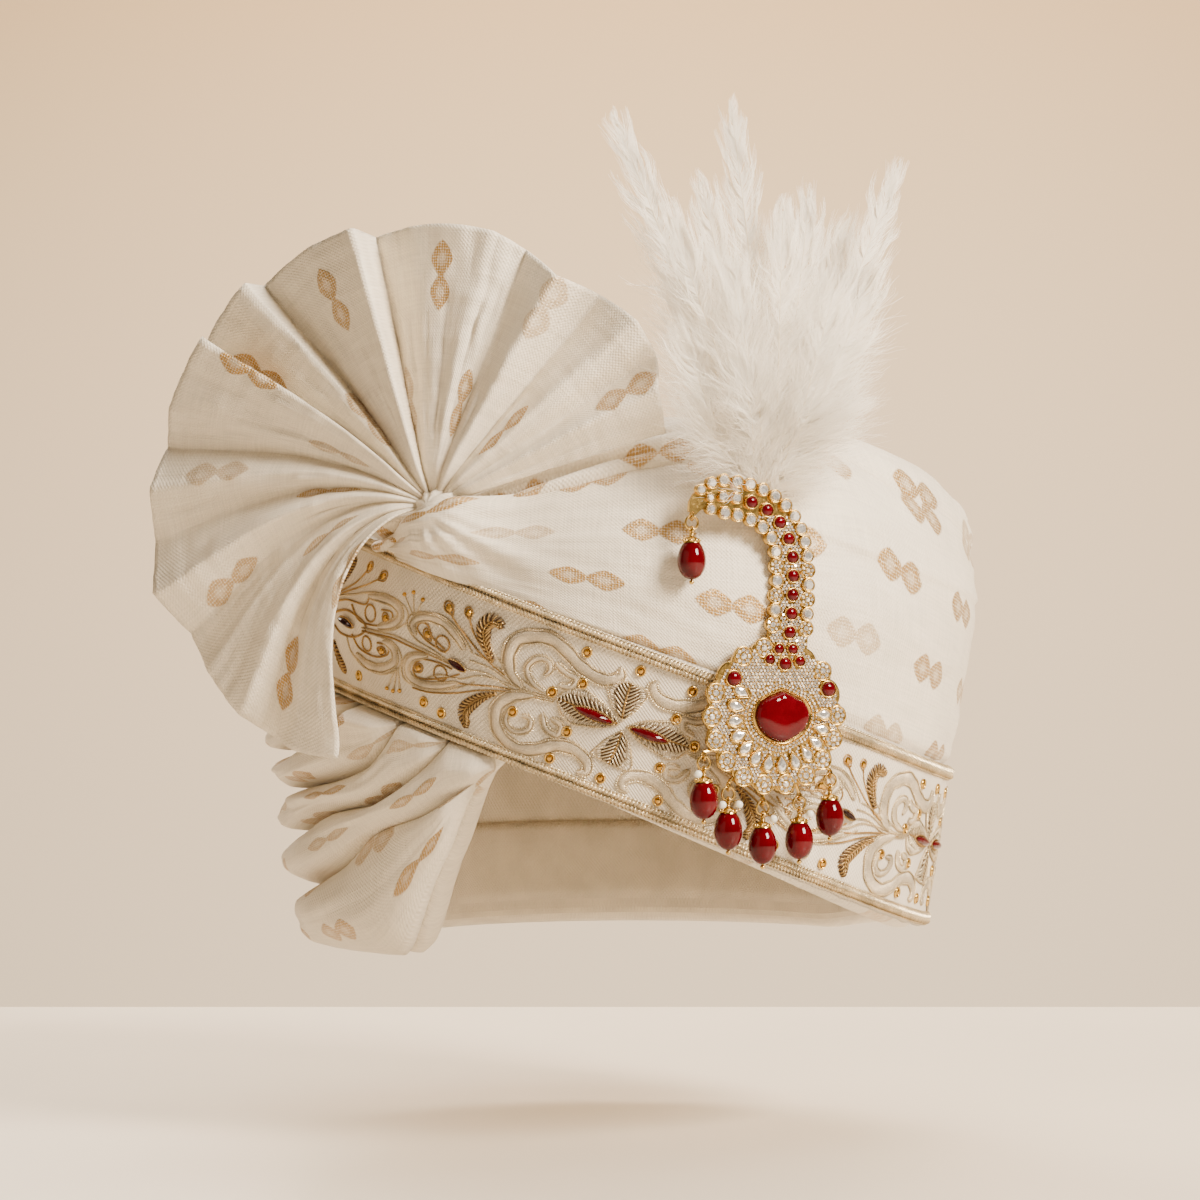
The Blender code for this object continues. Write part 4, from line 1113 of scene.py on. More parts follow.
def run_group(holder, tree, **inputs):
    """Runs a geometry node tree on an object and returns a plain mesh object in its place."""
    modifier = holder.modifiers.new(tree.name, "NODES")
    modifier.node_group = tree
    for item in tree.interface.items_tree:
        label = item.name.replace(" ", "_")
        if item.in_out == "INPUT" and label in inputs:
            modifier[item.identifier] = inputs[label]
    bpy.context.view_layer.update()
    graph = bpy.context.evaluated_depsgraph_get()
    mesh = bpy.data.meshes.new_from_object(holder.evaluated_get(graph))
    name = holder.name
    bpy.data.objects.remove(holder)
    mesh.name = name
    return add_object(name, mesh)


def scatter_tree():
    """A node tree that sets a template on each point of a mesh, turned and sized by the points' attributes."""
    tree = new_group(
        "set_on_points", Templates="Collection", Wave_height="Float", Wave_scale="Float", Finish="Material"
    )
    given = node(tree, "NodeGroupInput")
    templates = node(
        tree, "GeometryNodeCollectionInfo", {"Collection": (given, "Templates"), "Separate Children": True}
    )
    placed = node(
        tree,
        "GeometryNodeInstanceOnPoints",
        {
            "Points": (given, "Geometry"),
            "Instance": templates,
            "Pick Instance": True,
            "Instance Index": attribute(tree, "pick", "INT"),
            "Rotation": node(tree, "FunctionNodeEulerToRotation", {0: attribute(tree, "turn", "FLOAT_VECTOR")}),
            "Scale": attribute(tree, "size", "FLOAT_VECTOR"),
        },
    )
    real = node(tree, "GeometryNodeRealizeInstances", {0: placed})
    place = node(tree, "GeometryNodeInputPosition")
    waves = node(tree, "ShaderNodeTexNoise", {"Vector": place, "Scale": (given, "Wave scale"), "Detail": 1.0})
    centred = node(tree, "ShaderNodeVectorMath", {0: (waves, "Color"), 1: (-0.5, -0.5, -0.5)}, operation="ADD")
    high = calc(tree, "MULTIPLY", attribute(tree, "reach", "FLOAT"), (given, "Wave height"))
    offset = node(tree, "ShaderNodeVectorMath", {0: centred, "Scale": high}, operation="SCALE")
    waved = node(tree, "GeometryNodeSetPosition", {"Geometry": real, "Offset": offset})
    finished = node(tree, "GeometryNodeSetMaterial", {"Geometry": waved, "Material": (given, "Finish")})
    node(tree, "NodeGroupOutput", {0: finished})
    return tree


def template_mesh(name, points, faces, smooth=False, reach=None):
    """A mesh to repeat. reach is how far the waves move each point."""
    mesh = bpy.data.meshes.new(name)
    mesh.from_pydata(points, [], faces)
    if smooth:
        mesh.shade_smooth()
    values = mesh.attributes.new("reach", "FLOAT", "POINT")
    values.data.foreach_set("value", reach or [0.0] * len(points))
    return mesh


def scatter(name, templates, spots, material, wave_height=0.0, wave_scale=1.0):
    """Sets templates on spots with Geometry Nodes and returns the plain mesh."""
    tree = bpy.data.node_groups.get("set_on_points") or scatter_tree()
    shelf = bpy.data.collections.new(name + "_templates")
    for k, mesh in enumerate(templates):
        shelf.objects.link(bpy.data.objects.new(f"{name}_template_{k}", mesh))
    points = bpy.data.meshes.new(name)
    points.from_pydata([spot.place for spot in spots], [], [])
    for label in ("turn", "size"):
        made = points.attributes.new(label, "FLOAT_VECTOR", "POINT")
        made.data.foreach_set("vector", [part for spot in spots for part in getattr(spot, label)])
    made = points.attributes.new("pick", "INT", "POINT")
    made.data.foreach_set("value", [spot.pick for spot in spots])
    result = run_group(
        add_object(name, points),
        tree,
        Templates=shelf,
        Wave_height=wave_height,
        Wave_scale=wave_scale,
        Finish=bpy.data.materials[material],
    )
    for made in list(shelf.objects):
        bpy.data.objects.remove(made)
    bpy.data.collections.remove(shelf)
    return result


def chance(*seeds):
    """A steady number from 0 to 1 for a set of seeds."""
    total = 0.0
    for k, seed in enumerate(seeds):
        total += seed * (12.9898 + 65.233 * k)
    value = math.sin(total) * 43758.5453
    return value - math.floor(value)


def outline_rings(outline, tiers, capped=True, centre=(0.0, 0.0)):
    """Rings of an outline, shrunk about its centre and raised by tiers of (size share, height)."""
    points = [
        (centre[0] + (x - centre[0]) * share, centre[1] + (y - centre[1]) * share, height)
        for share, height in tiers
        for x, y in outline
    ]
    count = len(outline)
    last = (len(tiers) - 1) * count
    faces = []
    for tier in range(len(tiers) - 1):
        for k in range(count):
            a, b = tier * count + k, tier * count + (k + 1) % count
            faces.append((a, b, b + count, a + count))
    if capped:
        faces += [tuple(range(last, last + count)), tuple(range(count))[::-1]]
    else:
        faces += [(last + k, last + (k + 1) % count, (k + 1) % count, k) for k in range(count)]
    return points, faces


def turns(count):
    """Evenly spaced angles of a full turn."""
    return [2 * math.pi * k / count for k in range(count)]


def circle(count, radius=1.0):
    return [(radius * math.cos(turn), radius * math.sin(turn)) for turn in turns(count)]


def teardrop(count, length=1.0, width=0.66):
    """A teardrop outline with its point at +X."""
    outline = []
    for turn in turns(count):
        narrow = 1 - 0.55 * eased(math.cos(turn), -0.2, 1.0)
        outline.append((length * math.cos(turn), width * math.sin(turn) * narrow))
    return outline


def pointed_oval(turn):
    """How far a marquise outline stands out sideways at an angle."""
    return math.sin(turn) * abs(math.sin(turn)) ** 0.4


def ball_profile(radius, steps, pole=0.00001):
    """A ball's (radius, height) profile. Its poles keep a tiny radius."""
    return [
        (radius * math.sin(math.pi * k / steps) + pole, radius * math.cos(math.pi * k / steps))
        for k in range(steps + 1)
    ]


BEZEL_TIERS = ((1.0, 0.0), (1.06, 0.45), (1.03, 0.92), (0.96, 1.0), (0.88, 0.92), (0.86, 0.30))
STONE_TIERS = ((0.86, 0.0), (0.97, 0.42), (0.60, 0.95))
DOME_TIERS = ((1.0, 0.0), (0.99, 0.22), (0.93, 0.46), (0.80, 0.68), (0.60, 0.86), (0.35, 0.97), (0.12, 1.0))


# Brooch

PLATE_THICKNESS = 0.0018
MEDALLION_RADIUS = 0.0275
MEDALLION_SHIFT = -0.0025
MEDALLION_MIDDLE = Vector((MEDALLION_SHIFT, 0.0))
STEM_HEIGHT = 0.0755
STEM_PLATE_HALF_WIDTH = 0.0072
STEM_PLATE_STEPS = 60
STEM_FOOT_ANGLES = (62, 98)
STONE_SEAT = 0.0003
BROOCH_ANGLE = -68.0
BROOCH_HEIGHT = 0.0545
BROOCH_CLEARANCE = 0.0008
RUBY_COUNT = 9
RUBY_RADIUS = 0.0021
RUBY_FIRST = 0.0120
RUBY_PITCH = 0.00645
CRYSTAL_RADIUS = 0.00215
CRYSTAL_PITCH = 0.0050
CRYSTAL_OFFSET = 0.0060
CRYSTAL_FIRST = 0.004
CRYSTAL_LAST_SHARE = 0.93
CLUSTER_LAST_SHARE = 0.46
CLUSTER_GROWTH = 1.18
HOOK_CRYSTAL_RADIUS = 0.0020
HOOK_LAST_SHARE = 0.90
ROSETTE_STEP = 20
ROSETTE_REACH = 0.0237
ROSETTE_RADIUS = 0.0031
ROSETTE_CLEARANCE = 0.0026
PETAL_COUNT = 13
PETAL_FIRST_ANGLE = 150
PETAL_STEP_ANGLE = 17.6
PETAL_SHIFT = -0.0010
PETAL_REACH = 0.0165
PAVE_PITCH = 0.00128
PAVE_REACH = 0.0240
PAVE_RADIUS = 0.00058
CENTRE_STONE_REACH = 0.0100
DROP_COUNT = 5
DROP_FIRST_ANGLE = 207.0
DROP_STEP_ANGLE = 27.5
EYELET_REACH = 0.0019
EYELET_RADIUS = 0.0013
RING_RADIUS = 0.0023
RING_WIRE = 0.00042
LOOP_RADIUS = 0.00115
BEAD_RADIUS = 0.00485
BEAD_HEIGHT = 0.0140
BEAD_DROP = 0.0018
PLUME_HEIGHT = 0.134
PLUME_ROOT = Vector((-0.0035, 0.0700, -0.0032))

RoutePoint = namedtuple("RoutePoint", "across up")
STEM_ROUTE = (
    RoutePoint(0.020, 0.22),
    RoutePoint(0.045, 0.45),
    RoutePoint(0.055, 0.60),
    RoutePoint(0.050, 0.73),
    RoutePoint(0.020, 0.83),
    RoutePoint(-0.045, 0.91),
    RoutePoint(-0.135, 0.96),
    RoutePoint(-0.235, 0.985),
    RoutePoint(-0.335, 0.990),
    RoutePoint(-0.410, 0.965),
    RoutePoint(-0.440, 0.915),
)
StemWidth = namedtuple("StemWidth", "route_share width_share")
STEM_WIDTHS = (
    StemWidth(0.0, 1.10),
    StemWidth(0.3, 1.0),
    StemWidth(0.85, 0.92),
    StemWidth(0.93, 0.55),
    StemWidth(1.0, 0.20),
)
StonePlace = namedtuple("StonePlace", "across up radius")
CLUSTER_STONES = (
    StonePlace(-0.045, 0.835, 0.00175),
    StonePlace(0.145, 0.830, 0.00175),
    StonePlace(-0.170, 0.705, 0.00175),
    StonePlace(0.040, 0.650, 0.00220),
    StonePlace(0.245, 0.680, 0.00175),
)
SIDE_STONES = (StonePlace(-0.66, 0.47, 0.0026), StonePlace(0.64, 0.33, 0.0026))
Outline = namedtuple("Outline", "angle reach_share")
CENTRE_STONE_OUTLINE = (
    Outline(-30, 0.93),
    Outline(0, 1.0),
    Outline(30, 0.93),
    Outline(55, 0.78),
    Outline(72, 0.79),
    Outline(90, 0.84),
    Outline(108, 0.79),
    Outline(130, 0.83),
    Outline(155, 0.95),
    Outline(180, 1.0),
    Outline(210, 0.94),
    Outline(240, 0.88),
    Outline(268, 0.88),
    Outline(300, 0.84),
    Outline(330, 0.93),
    Outline(360, 1.0),
)
# Rings of the large ruby as (size share, height over its seat)
CENTRE_TIERS = (
    (0.97, 0.0),
    (1.0, 0.0009),
    (0.985, 0.0016),
    (0.93, 0.0023),
    (0.84, 0.0029),
    (0.72, 0.0032),
    (0.50, 0.0034),
    (0.25, 0.00345),
)


def brooch_matrix():
    standoff = LAY_GAP + BAND_THICKNESS + EDGE_GAP + CORD_DIAMETER + BROOCH_CLEARANCE
    outward = crown_outward(BROOCH_ANGLE, BROOCH_HEIGHT)
    turn = math.degrees(math.atan2(outward.x, -outward.y))
    return facing_frame(off_crown(BROOCH_ANGLE, BROOCH_HEIGHT, standoff), turn)


def smooth_route(points, count):
    """Evenly spaced points on a smooth curve through a few chosen ones."""
    dense = []
    for i in range(len(points) - 1):
        a, b, c, d = (points[max(0, min(len(points) - 1, i + k))] for k in (-1, 0, 1, 2))
        for step in range(12):
            t = step / 12
            bend = (2 * a - 5 * b + 4 * c - d) * t**2 + (3 * b - a - 3 * c + d) * t**3
            dense.append(b + 0.5 * ((c - a) * t + bend))
    dense.append(points[-1])
    lengths = [0.0]
    for p, q in zip(dense, dense[1:]):
        lengths.append(lengths[-1] + (q - p).length)
    even = []
    i = 0
    for k in range(count):
        want = lengths[-1] * k / (count - 1)
        while i < len(lengths) - 2 and lengths[i + 1] < want:
            i += 1
        even.append(dense[i].lerp(dense[i + 1], (want - lengths[i]) / max(lengths[i + 1] - lengths[i], 1e-9)))
    return even


STEM_LINE = smooth_route([Vector((p.across, p.up)) * STEM_HEIGHT for p in STEM_ROUTE], 90)
STEM_LENGTH = sum((q - p).length for p, q in zip(STEM_LINE, STEM_LINE[1:]))


def on_stem(distance, offset=0.0):
    """A point a distance along the stem's middle line and an offset to its right, looking along it."""
    share = max(0.0, min(1.0, distance / STEM_LENGTH)) * (len(STEM_LINE) - 1)
    i = min(int(share), len(STEM_LINE) - 2)
    along = (STEM_LINE[i + 1] - STEM_LINE[i]).normalized()
    return STEM_LINE[i].lerp(STEM_LINE[i + 1], share - i) + Vector((along.y, -along.x)) * offset


def stem_width(distance):
    return through(STEM_WIDTHS, distance / STEM_LENGTH)


def drop_places():
    """The middles of the eyelets: five round the medallion's foot and one under the hook's tip."""
    reach = MEDALLION_RADIUS + EYELET_REACH
    places = []
    for k in range(DROP_COUNT):
        turn = math.radians(DROP_FIRST_ANGLE + DROP_STEP_ANGLE * k)
        places.append(Vector((MEDALLION_SHIFT + reach * math.cos(turn), reach * math.sin(turn))))
    places.append(on_stem(STEM_LENGTH) - Vector((0.0, EYELET_RADIUS * 0.8)))
    return places


def centre_outline(count, share=1.0):
    outline = []
    for k in range(count):
        angle = 360 * k / count
        reach = CENTRE_STONE_REACH * through(CENTRE_STONE_OUTLINE, angle) * share
        outline.append((reach * math.cos(math.radians(angle)), reach * math.sin(math.radians(angle))))
    return outline


def in_place(name, parts, matrix, material, smooth_angle=35):
    """One mesh from lists of points and faces, moved by a matrix, with outward faces."""
    points, faces = [], []
    for part_points, part_faces in parts:
        start = len(points)
        points += [matrix @ Vector(point) for point in part_points]
        faces += [tuple(start + k for k in face) for face in part_faces]
    mesh = bpy.data.meshes.new(name)
    mesh.from_pydata(points, [], faces)
    bm = bmesh.new()
    bm.from_mesh(mesh)
    bmesh.ops.recalc_face_normals(bm, faces=bm.faces)
    bm.to_mesh(mesh)
    bm.free()
    mesh.materials.append(bpy.data.materials[material])
    mesh.shade_smooth()
    mesh.set_sharp_from_angle(angle=math.radians(smooth_angle))
    return add_object(name, mesh)


def tube(points, radius, sides=8, closed=False, radii=None):
    """Points and faces of a round tube along points."""
    made, faces = [], []
    count = len(points)
    normal = None
    for k in range(count):
        before = points[(k - 1) % count] if closed else points[max(0, k - 1)]
        after = points[(k + 1) % count] if closed else points[min(count - 1, k + 1)]
        along = (after - before).normalized()
        if normal is None:
            normal = along.orthogonal().normalized()
        normal = (normal - along * normal.dot(along)).normalized()
        side = along.cross(normal)
        for j in range(sides):
            turn = 2 * math.pi * j / sides
            size = radius * (radii[k] if radii else 1.0)
            made.append(points[k] + (normal * math.cos(turn) + side * math.sin(turn)) * size)
    for k in range(count if closed else count - 1):
        for j in range(sides):
            a, b = k * sides + j, k * sides + (j + 1) % sides
            c, d = (b + sides) % (count * sides), (a + sides) % (count * sides)
            faces.append((a, b, c, d))
    if not closed:
        faces.append(tuple(range(sides)))
        faces.append(tuple(range((count - 1) * sides, count * sides)))
    return made, faces


def lathe(profile, steps, place=Vector()):
    """Points and faces of a turned shape round Z, from a profile of (radius, height)."""
    made, faces = [], []
    for radius, height in profile:
        for k in range(steps):
            turn = 2 * math.pi * k / steps
            made.append(place + Vector((radius * math.cos(turn), radius * math.sin(turn), height)))
    for j in range(len(profile) - 1):
        for k in range(steps):
            a, b = j * steps + k, j * steps + (k + 1) % steps
            faces.append((a, b, b + steps, a + steps))
    faces.append(tuple(range(steps)))
    faces.append(tuple(range((len(profile) - 1) * steps, len(profile) * steps)))
    return made, faces


def polar(turn):
    return Vector((math.cos(turn), math.sin(turn)))


def stone_places():
    """Rubies, single clear stones and clusters as (place, radius), and the petals round the foot as (place, turn)."""
    rubies = [(on_stem(RUBY_FIRST + RUBY_PITCH * k), RUBY_RADIUS) for k in range(RUBY_COUNT)]
    for stone in CLUSTER_STONES + SIDE_STONES:
        rubies.append((Vector((stone.across, stone.up)) * MEDALLION_RADIUS, stone.radius))
    singles, clusters = [], []
    for side in (-1, 1):
        distance = CRYSTAL_FIRST
        while distance < CRYSTAL_LAST_SHARE * STEM_LENGTH:
            width = stem_width(distance)
            spot = on_stem(distance, side * CRYSTAL_OFFSET * width)
            following = on_stem(distance + CRYSTAL_PITCH, side * CRYSTAL_OFFSET * width)
            radius = CRYSTAL_RADIUS * (0.55 + 0.45 * width)
            if (spot - MEDALLION_MIDDLE).length > MEDALLION_RADIUS + radius * 0.9:
                # Every second stone of the stem's foot is a cluster of tiny ones
                if distance < CLUSTER_LAST_SHARE * STEM_LENGTH and int(distance / CRYSTAL_PITCH) % 2 == 0:
                    clusters.append((spot, radius * CLUSTER_GROWTH))
                else:
                    singles.append((spot, radius))
            distance += CRYSTAL_PITCH / max(0.55, (following - spot).length / CRYSTAL_PITCH)
    distance = RUBY_FIRST + RUBY_PITCH * RUBY_COUNT - 0.0008
    while distance < HOOK_LAST_SHARE * STEM_LENGTH:
        singles.append((on_stem(distance), HOOK_CRYSTAL_RADIUS * stem_width(distance)))
        distance += CRYSTAL_PITCH
    for degrees in range(0, 360, ROSETTE_STEP):
        spot = MEDALLION_MIDDLE + polar(math.radians(degrees)) * ROSETTE_REACH
        clear = all((spot - other).length > ROSETTE_CLEARANCE + size for other, size in rubies)
        if clear and not STEM_FOOT_ANGLES[0] < degrees < STEM_FOOT_ANGLES[1]:
            clusters.append((spot, ROSETTE_RADIUS))
    petals = []
    for k in range(PETAL_COUNT):
        turn = math.radians(PETAL_FIRST_ANGLE + PETAL_STEP_ANGLE * k)
        petals.append((Vector((PETAL_SHIFT + PETAL_REACH * math.cos(turn), PETAL_REACH * math.sin(turn))), turn))
    return rubies, singles, clusters, petals


def stem_plate():
    """Points and faces of the flat strip under the stem."""
    points, faces = [], []
    for level in (0.0002, 0.0016):
        for k in range(STEM_PLATE_STEPS + 1):
            distance = STEM_LENGTH * k / STEM_PLATE_STEPS
            half = STEM_PLATE_HALF_WIDTH * stem_width(distance)
            points += [(*on_stem(distance, half), level), (*on_stem(distance, -half), level)]
    upper = 2 * (STEM_PLATE_STEPS + 1)
    for a in range(0, 2 * STEM_PLATE_STEPS, 2):
        faces += [(a, a + 1, a + 3, a + 2), (a + upper, a + upper + 1, a + upper + 3, a + upper + 2)]
        faces += [(a, a + 2, a + upper + 2, a + upper), (a + 1, a + 3, a + upper + 3, a + upper + 1)]
    last = upper - 2
    faces += [(0, 1, upper + 1, upper), (last, last + 1, last + upper + 1, last + upper)]
    return points, faces


def plate_parts(seats):
    """The scalloped medallion, the stem, a seat under each clear stone, the centre bezel and the eyelets."""
    top = PLATE_THICKNESS
    medallion = []
    for turn in turns(216):
        reach = MEDALLION_RADIUS * (0.90 + 0.055 * abs(math.cos(turn * 9)) ** 0.7)
        medallion.append((MEDALLION_SHIFT + reach * math.cos(turn), reach * math.sin(turn)))
    edge = ((0.985, 0.0), (1.0, 0.0003), (1.0, top - 0.0003), (0.985, top))
    parts = [outline_rings(medallion, edge, centre=(MEDALLION_SHIFT, 0.0)), stem_plate()]
    for spot, radius in seats:
        shape = [(spot.x + x, spot.y + y) for x, y in circle(18, radius * 1.10)]
        parts.append(outline_rings(shape, ((0.94, 0.0001), (1.0, 0.0005), (1.0, 0.0016), (0.9, 0.0020)), centre=spot))
    bezel = ((1.11, top - 0.0004), (1.12, top + 0.0010), (1.07, top + 0.0016), (1.005, top + 0.0013), (1.0, top))
    parts.append(outline_rings(centre_outline(72), bezel, capped=False))
    for k, spot in enumerate(drop_places()):
        loop = []
        for turn in turns(16):
            out = top / 2 + EYELET_RADIUS * math.sin(turn)
            loop.append(Vector((spot.x, spot.y + EYELET_RADIUS * math.cos(turn), out)))
        parts.append(tube(loop, RING_WIRE, 7, closed=True))
        if k < DROP_COUNT:
            inside = MEDALLION_MIDDLE + (spot - MEDALLION_MIDDLE).normalized() * 0.0235
            start = Vector((inside.x, inside.y, top / 2))
            end = Vector((spot.x, spot.y + EYELET_RADIUS, top / 2))
            parts.append(tube([start, end], 0.0007, 8))
    return parts


def ring_line(share, count):
    """A closed line round the centre stone."""
    outline = [Vector(point) for point in centre_outline(60, share)]
    return smooth_route(outline + outline[:1], count)


def tiny_stones(rubies, singles, clusters, petals):
    """Pavé as (place, level, radius): in each cluster, in two rings round the centre stone and in the gaps."""
    top = PLATE_THICKNESS
    tiny = []
    for spot, radius in clusters:
        tiny.append((spot, 0.0019, radius * 0.36))
        for turn in turns(8 if radius > 0.0028 else 7):
            tiny.append((spot + polar(turn) * radius * 0.70, 0.0018, radius * 0.24))
    for share, size in ((1.21, 0.00062), (1.36, 0.00056)):
        line = ring_line(share, 240)
        since = 1.0
        for a, b in zip(line, line[1:]):
            since += (b - a).length
            if since > size * 2.12:
                tiny.append((b, top, size))
                since = 0.0
    taken = rubies + singles + [(spot, radius * 0.95) for spot, radius in clusters]
    for outward, size in ((0.0012, 0.0019), (-0.0014, 0.0015)):
        taken += [(spot + polar(turn) * outward, size) for spot, turn in petals]
    for row in range(-24, 62):
        for column in range(-34, 34):
            spot = Vector(((column + 0.5 * (row % 2)) * PAVE_PITCH - 0.0025, row * PAVE_PITCH * 0.87))
            nearest = min(range(len(STEM_LINE)), key=lambda k: (STEM_LINE[k] - spot).length_squared)
            half = 0.0062 * through(STEM_WIDTHS, nearest / (len(STEM_LINE) - 1))
            angle = math.degrees(math.atan2(spot.y, spot.x)) % 360
            from_stone = spot.length / (CENTRE_STONE_REACH * through(CENTRE_STONE_OUTLINE, angle))
            if (spot - MEDALLION_MIDDLE).length < PAVE_REACH:
                on_plate = from_stone > 1.46
            else:
                on_plate = (STEM_LINE[nearest] - spot).length < half
            if on_plate and all((spot - other).length > size + 0.00050 for other, size in taken):
                tiny.append((spot, top, PAVE_RADIUS))
    return tiny


def plate_spots(items, tilted=0.0, pick=0):
    """Spots of stones or bezels on the plate, from (place, level, scale, turn on the plate)."""
    place = brooch_matrix()
    made = []
    for index, (spot, level, size, turn) in enumerate(items):
        tilt = Matrix.Rotation(tilted * (chance(index, 3.0) - 0.5), 3, "X")
        tilt = tilt @ Matrix.Rotation(tilted * (chance(index, 5.0) - 0.5), 3, "Y")
        rotation = (place.to_3x3() @ tilt @ Matrix.Rotation(turn, 3, "Z")).to_euler()
        made.append(Spot(place @ Vector((spot.x, spot.y, level)), tuple(rotation), size, pick))
    return made


class TURBAN_OT_brooch(bpy.types.Operator):
    """Adds the gold brooch with its clear crystals, rubies and large centre stone"""

    bl_idname = "turban.brooch"
    bl_label = "Brooch"

    def execute(self, context):
        top = PLATE_THICKNESS
        rubies, singles, clusters, petals = stone_places()
        plate = in_place("brooch_plate", plate_parts(clusters + singles), brooch_matrix(), "burnished_gold")
        kept(plate, "gold", "brooch_setting")
        tiny = tiny_stones(rubies, singles, clusters, petals)
        points, faces = outline_rings(circle(8), ((0.8, 0.0), (1.0, 0.35), (0.60, 0.85)))
        small = template_mesh("small_stone", points, faces[:-1])
        spots = plate_spots([(s, level, (r, r, r * 1.1), chance(s.x * 900, s.y * 700)) for s, level, r in tiny], 0.5)
        kept(scatter("pave_crystals", [small], spots, "foiled_crystal"), "gold")
        # Claws between the tiny stones, and a milled line round the centre stone
        grain = template_mesh("gold_grain", *lathe([(0.3, 0.0), (1.0, 0.5), (0.85, 1.2), (0.3, 1.6)], 6), smooth=True)
        grains = []
        for index, (s, level, r) in enumerate(tiny):
            for step in (0.3, 2.4, 4.5):
                place = s + polar(step + chance(index, step) * 0.4) * r * 1.08
                grains.append((place, level, (0.00014, 0.00014, 0.00034), 0.0))
        grains += [(p, top + 0.0001, (0.00034, 0.00034, 0.0006), 0.0) for p in ring_line(1.15, 110)]
        kept(scatter("gold_grains", [grain], plate_spots(grains), "burnished_gold"), "gold")
        # Round and teardrop bezels
        round_bezel = template_mesh(
            "round_bezel", *outline_rings(circle(24), BEZEL_TIERS, capped=False), smooth=True
        )
        tiers = ((1.08, 0.0), *BEZEL_TIERS[1:5], (0.84, 0.3))
        drop_bezel = template_mesh(
            "teardrop_bezel", *outline_rings(teardrop(28), tiers, capped=False), smooth=True
        )
        bezels = [(s, top - 0.0002, (r * 1.13, r * 1.13, 0.0015), 0.0) for s, r in rubies]
        bezels += [(s, top - 0.0001, (r * 1.06, r * 1.06, 0.0012), 0.0) for s, r in singles]
        bezels += [(s, top - 0.0003, (r * 1.08, r * 1.08, 0.0009), 0.0) for s, r in clusters]
        spots = plate_spots(bezels)
        spots += plate_spots([(s, top - 0.0001, (0.0033, 0.0033, 0.0016), t + math.pi) for s, t in petals], pick=1)
        kept(scatter("bezels", [round_bezel, drop_bezel], spots, "burnished_gold"), "gold")
        # Clear stones
        cut = template_mesh("cut_crystal", *outline_rings(circle(12), STONE_TIERS))
        tiers = ((1.0, 0.0), (1.0, 0.45), (0.66, 0.85), (0.4, 0.95))
        drop_cut = template_mesh("cut_teardrop", *outline_rings(teardrop(14, 0.95, 0.62), tiers))
        clear = [(s, top + 0.0001, (r * 0.93, r * 0.93, 0.0017), chance(s.x * 99)) for s, r in singles]
        spots = plate_spots(clear, 0.25)
        spots += plate_spots([(s, top, (0.0031, 0.0031, 0.0017), t + math.pi) for s, t in petals], pick=1)
        kept(scatter("clear_crystals", [cut, drop_cut], spots, "foiled_crystal"), "gold")
        # Rubies
        dome = template_mesh("ruby_dome", *outline_rings(circle(28), DOME_TIERS), smooth=True)
        spots = plate_spots([(s, top + STONE_SEAT, (r, r, r * 0.78), 0.0) for s, r in rubies])
        domes = scatter("ruby_cabochons", [dome], spots, "ruby_glass_stone")
        names = [name for name in frame["nodes"] if name.startswith(("stem_ruby", "cluster_ruby", "side_ruby"))]
        kept(domes, "ruby_glass", *names)
        tiers = [(share, top + STONE_SEAT + height) for share, height in CENTRE_TIERS]
        rings = outline_rings(centre_outline(96), tiers)
        kept(in_place("centre_ruby", [rings], brooch_matrix(), "ruby_glass_stone", 60), "ruby_glass", "centre_stone")
        return {"FINISHED"}


# Which drop each small pearl hangs by and on which side of it
PEARLS = ((0, -1), (1, -1), (1, 1), (2, 1), (3, 1))
BEAD_TOP = -2 * RING_RADIUS - LOOP_RADIUS - BEAD_DROP
PIN_WIRE = 0.00036
PIN_HEAD_RADIUS = 0.00085
COIL_RADIUS = 0.0006
CAP_GRAIN_RADIUS = 0.00058
PEARL_RADIUS = 0.00135
# The bead cap's profile as (radius, height over the bead's top)
CAP_PROFILE = (
    (0.0006, 0.0008),
    (0.0014, 0.0006),
    (0.0022, 0.0),
    (0.0029, -0.0009),
    (0.0031, -0.0014),
    (0.0028, -0.0013),
    (0.0019, -0.0002),
)


def headpin():
    """Parts of a headpin: a wire with a loop above the bead, its round head and three coils of wire."""
    loop_centre = -2 * RING_RADIUS
    foot = BEAD_TOP - BEAD_HEIGHT - STONE_SEAT
    line = [Vector((0, 0, foot - 0.0006)), Vector((0, 0, BEAD_TOP + BEAD_DROP / 3))]
    for k in range(24):
        angle = math.radians(-90 + 340 * k / 23)
        line.append(Vector((0, LOOP_RADIUS * math.cos(angle), loop_centre + LOOP_RADIUS * math.sin(angle))))
    head = [(radius, foot - 0.0005 + height) for radius, height in ball_profile(PIN_HEAD_RADIUS, 8, 0.00002)]
    parts = [tube(line, PIN_WIRE, 8), lathe(head, 14)]
    for k in range(3):
        level = BEAD_TOP + 0.0006 + k * 0.0005
        coil = [Vector((x, y, level)) for x, y in circle(16, COIL_RADIUS)]
        parts.append(tube(coil, 0.00026, 6, closed=True))
    return parts


def bead_cap():
    """Parts of a bead cap: a fluted cone and nine grains round it."""
    parts = [lathe([(radius, BEAD_TOP + height) for radius, height in CAP_PROFILE], 20)]
    for x, y in circle(9, 0.0027):
        parts.append(lathe(ball_profile(CAP_GRAIN_RADIUS, 6), 9, Vector((x, y, BEAD_TOP - 0.0006))))
    return parts


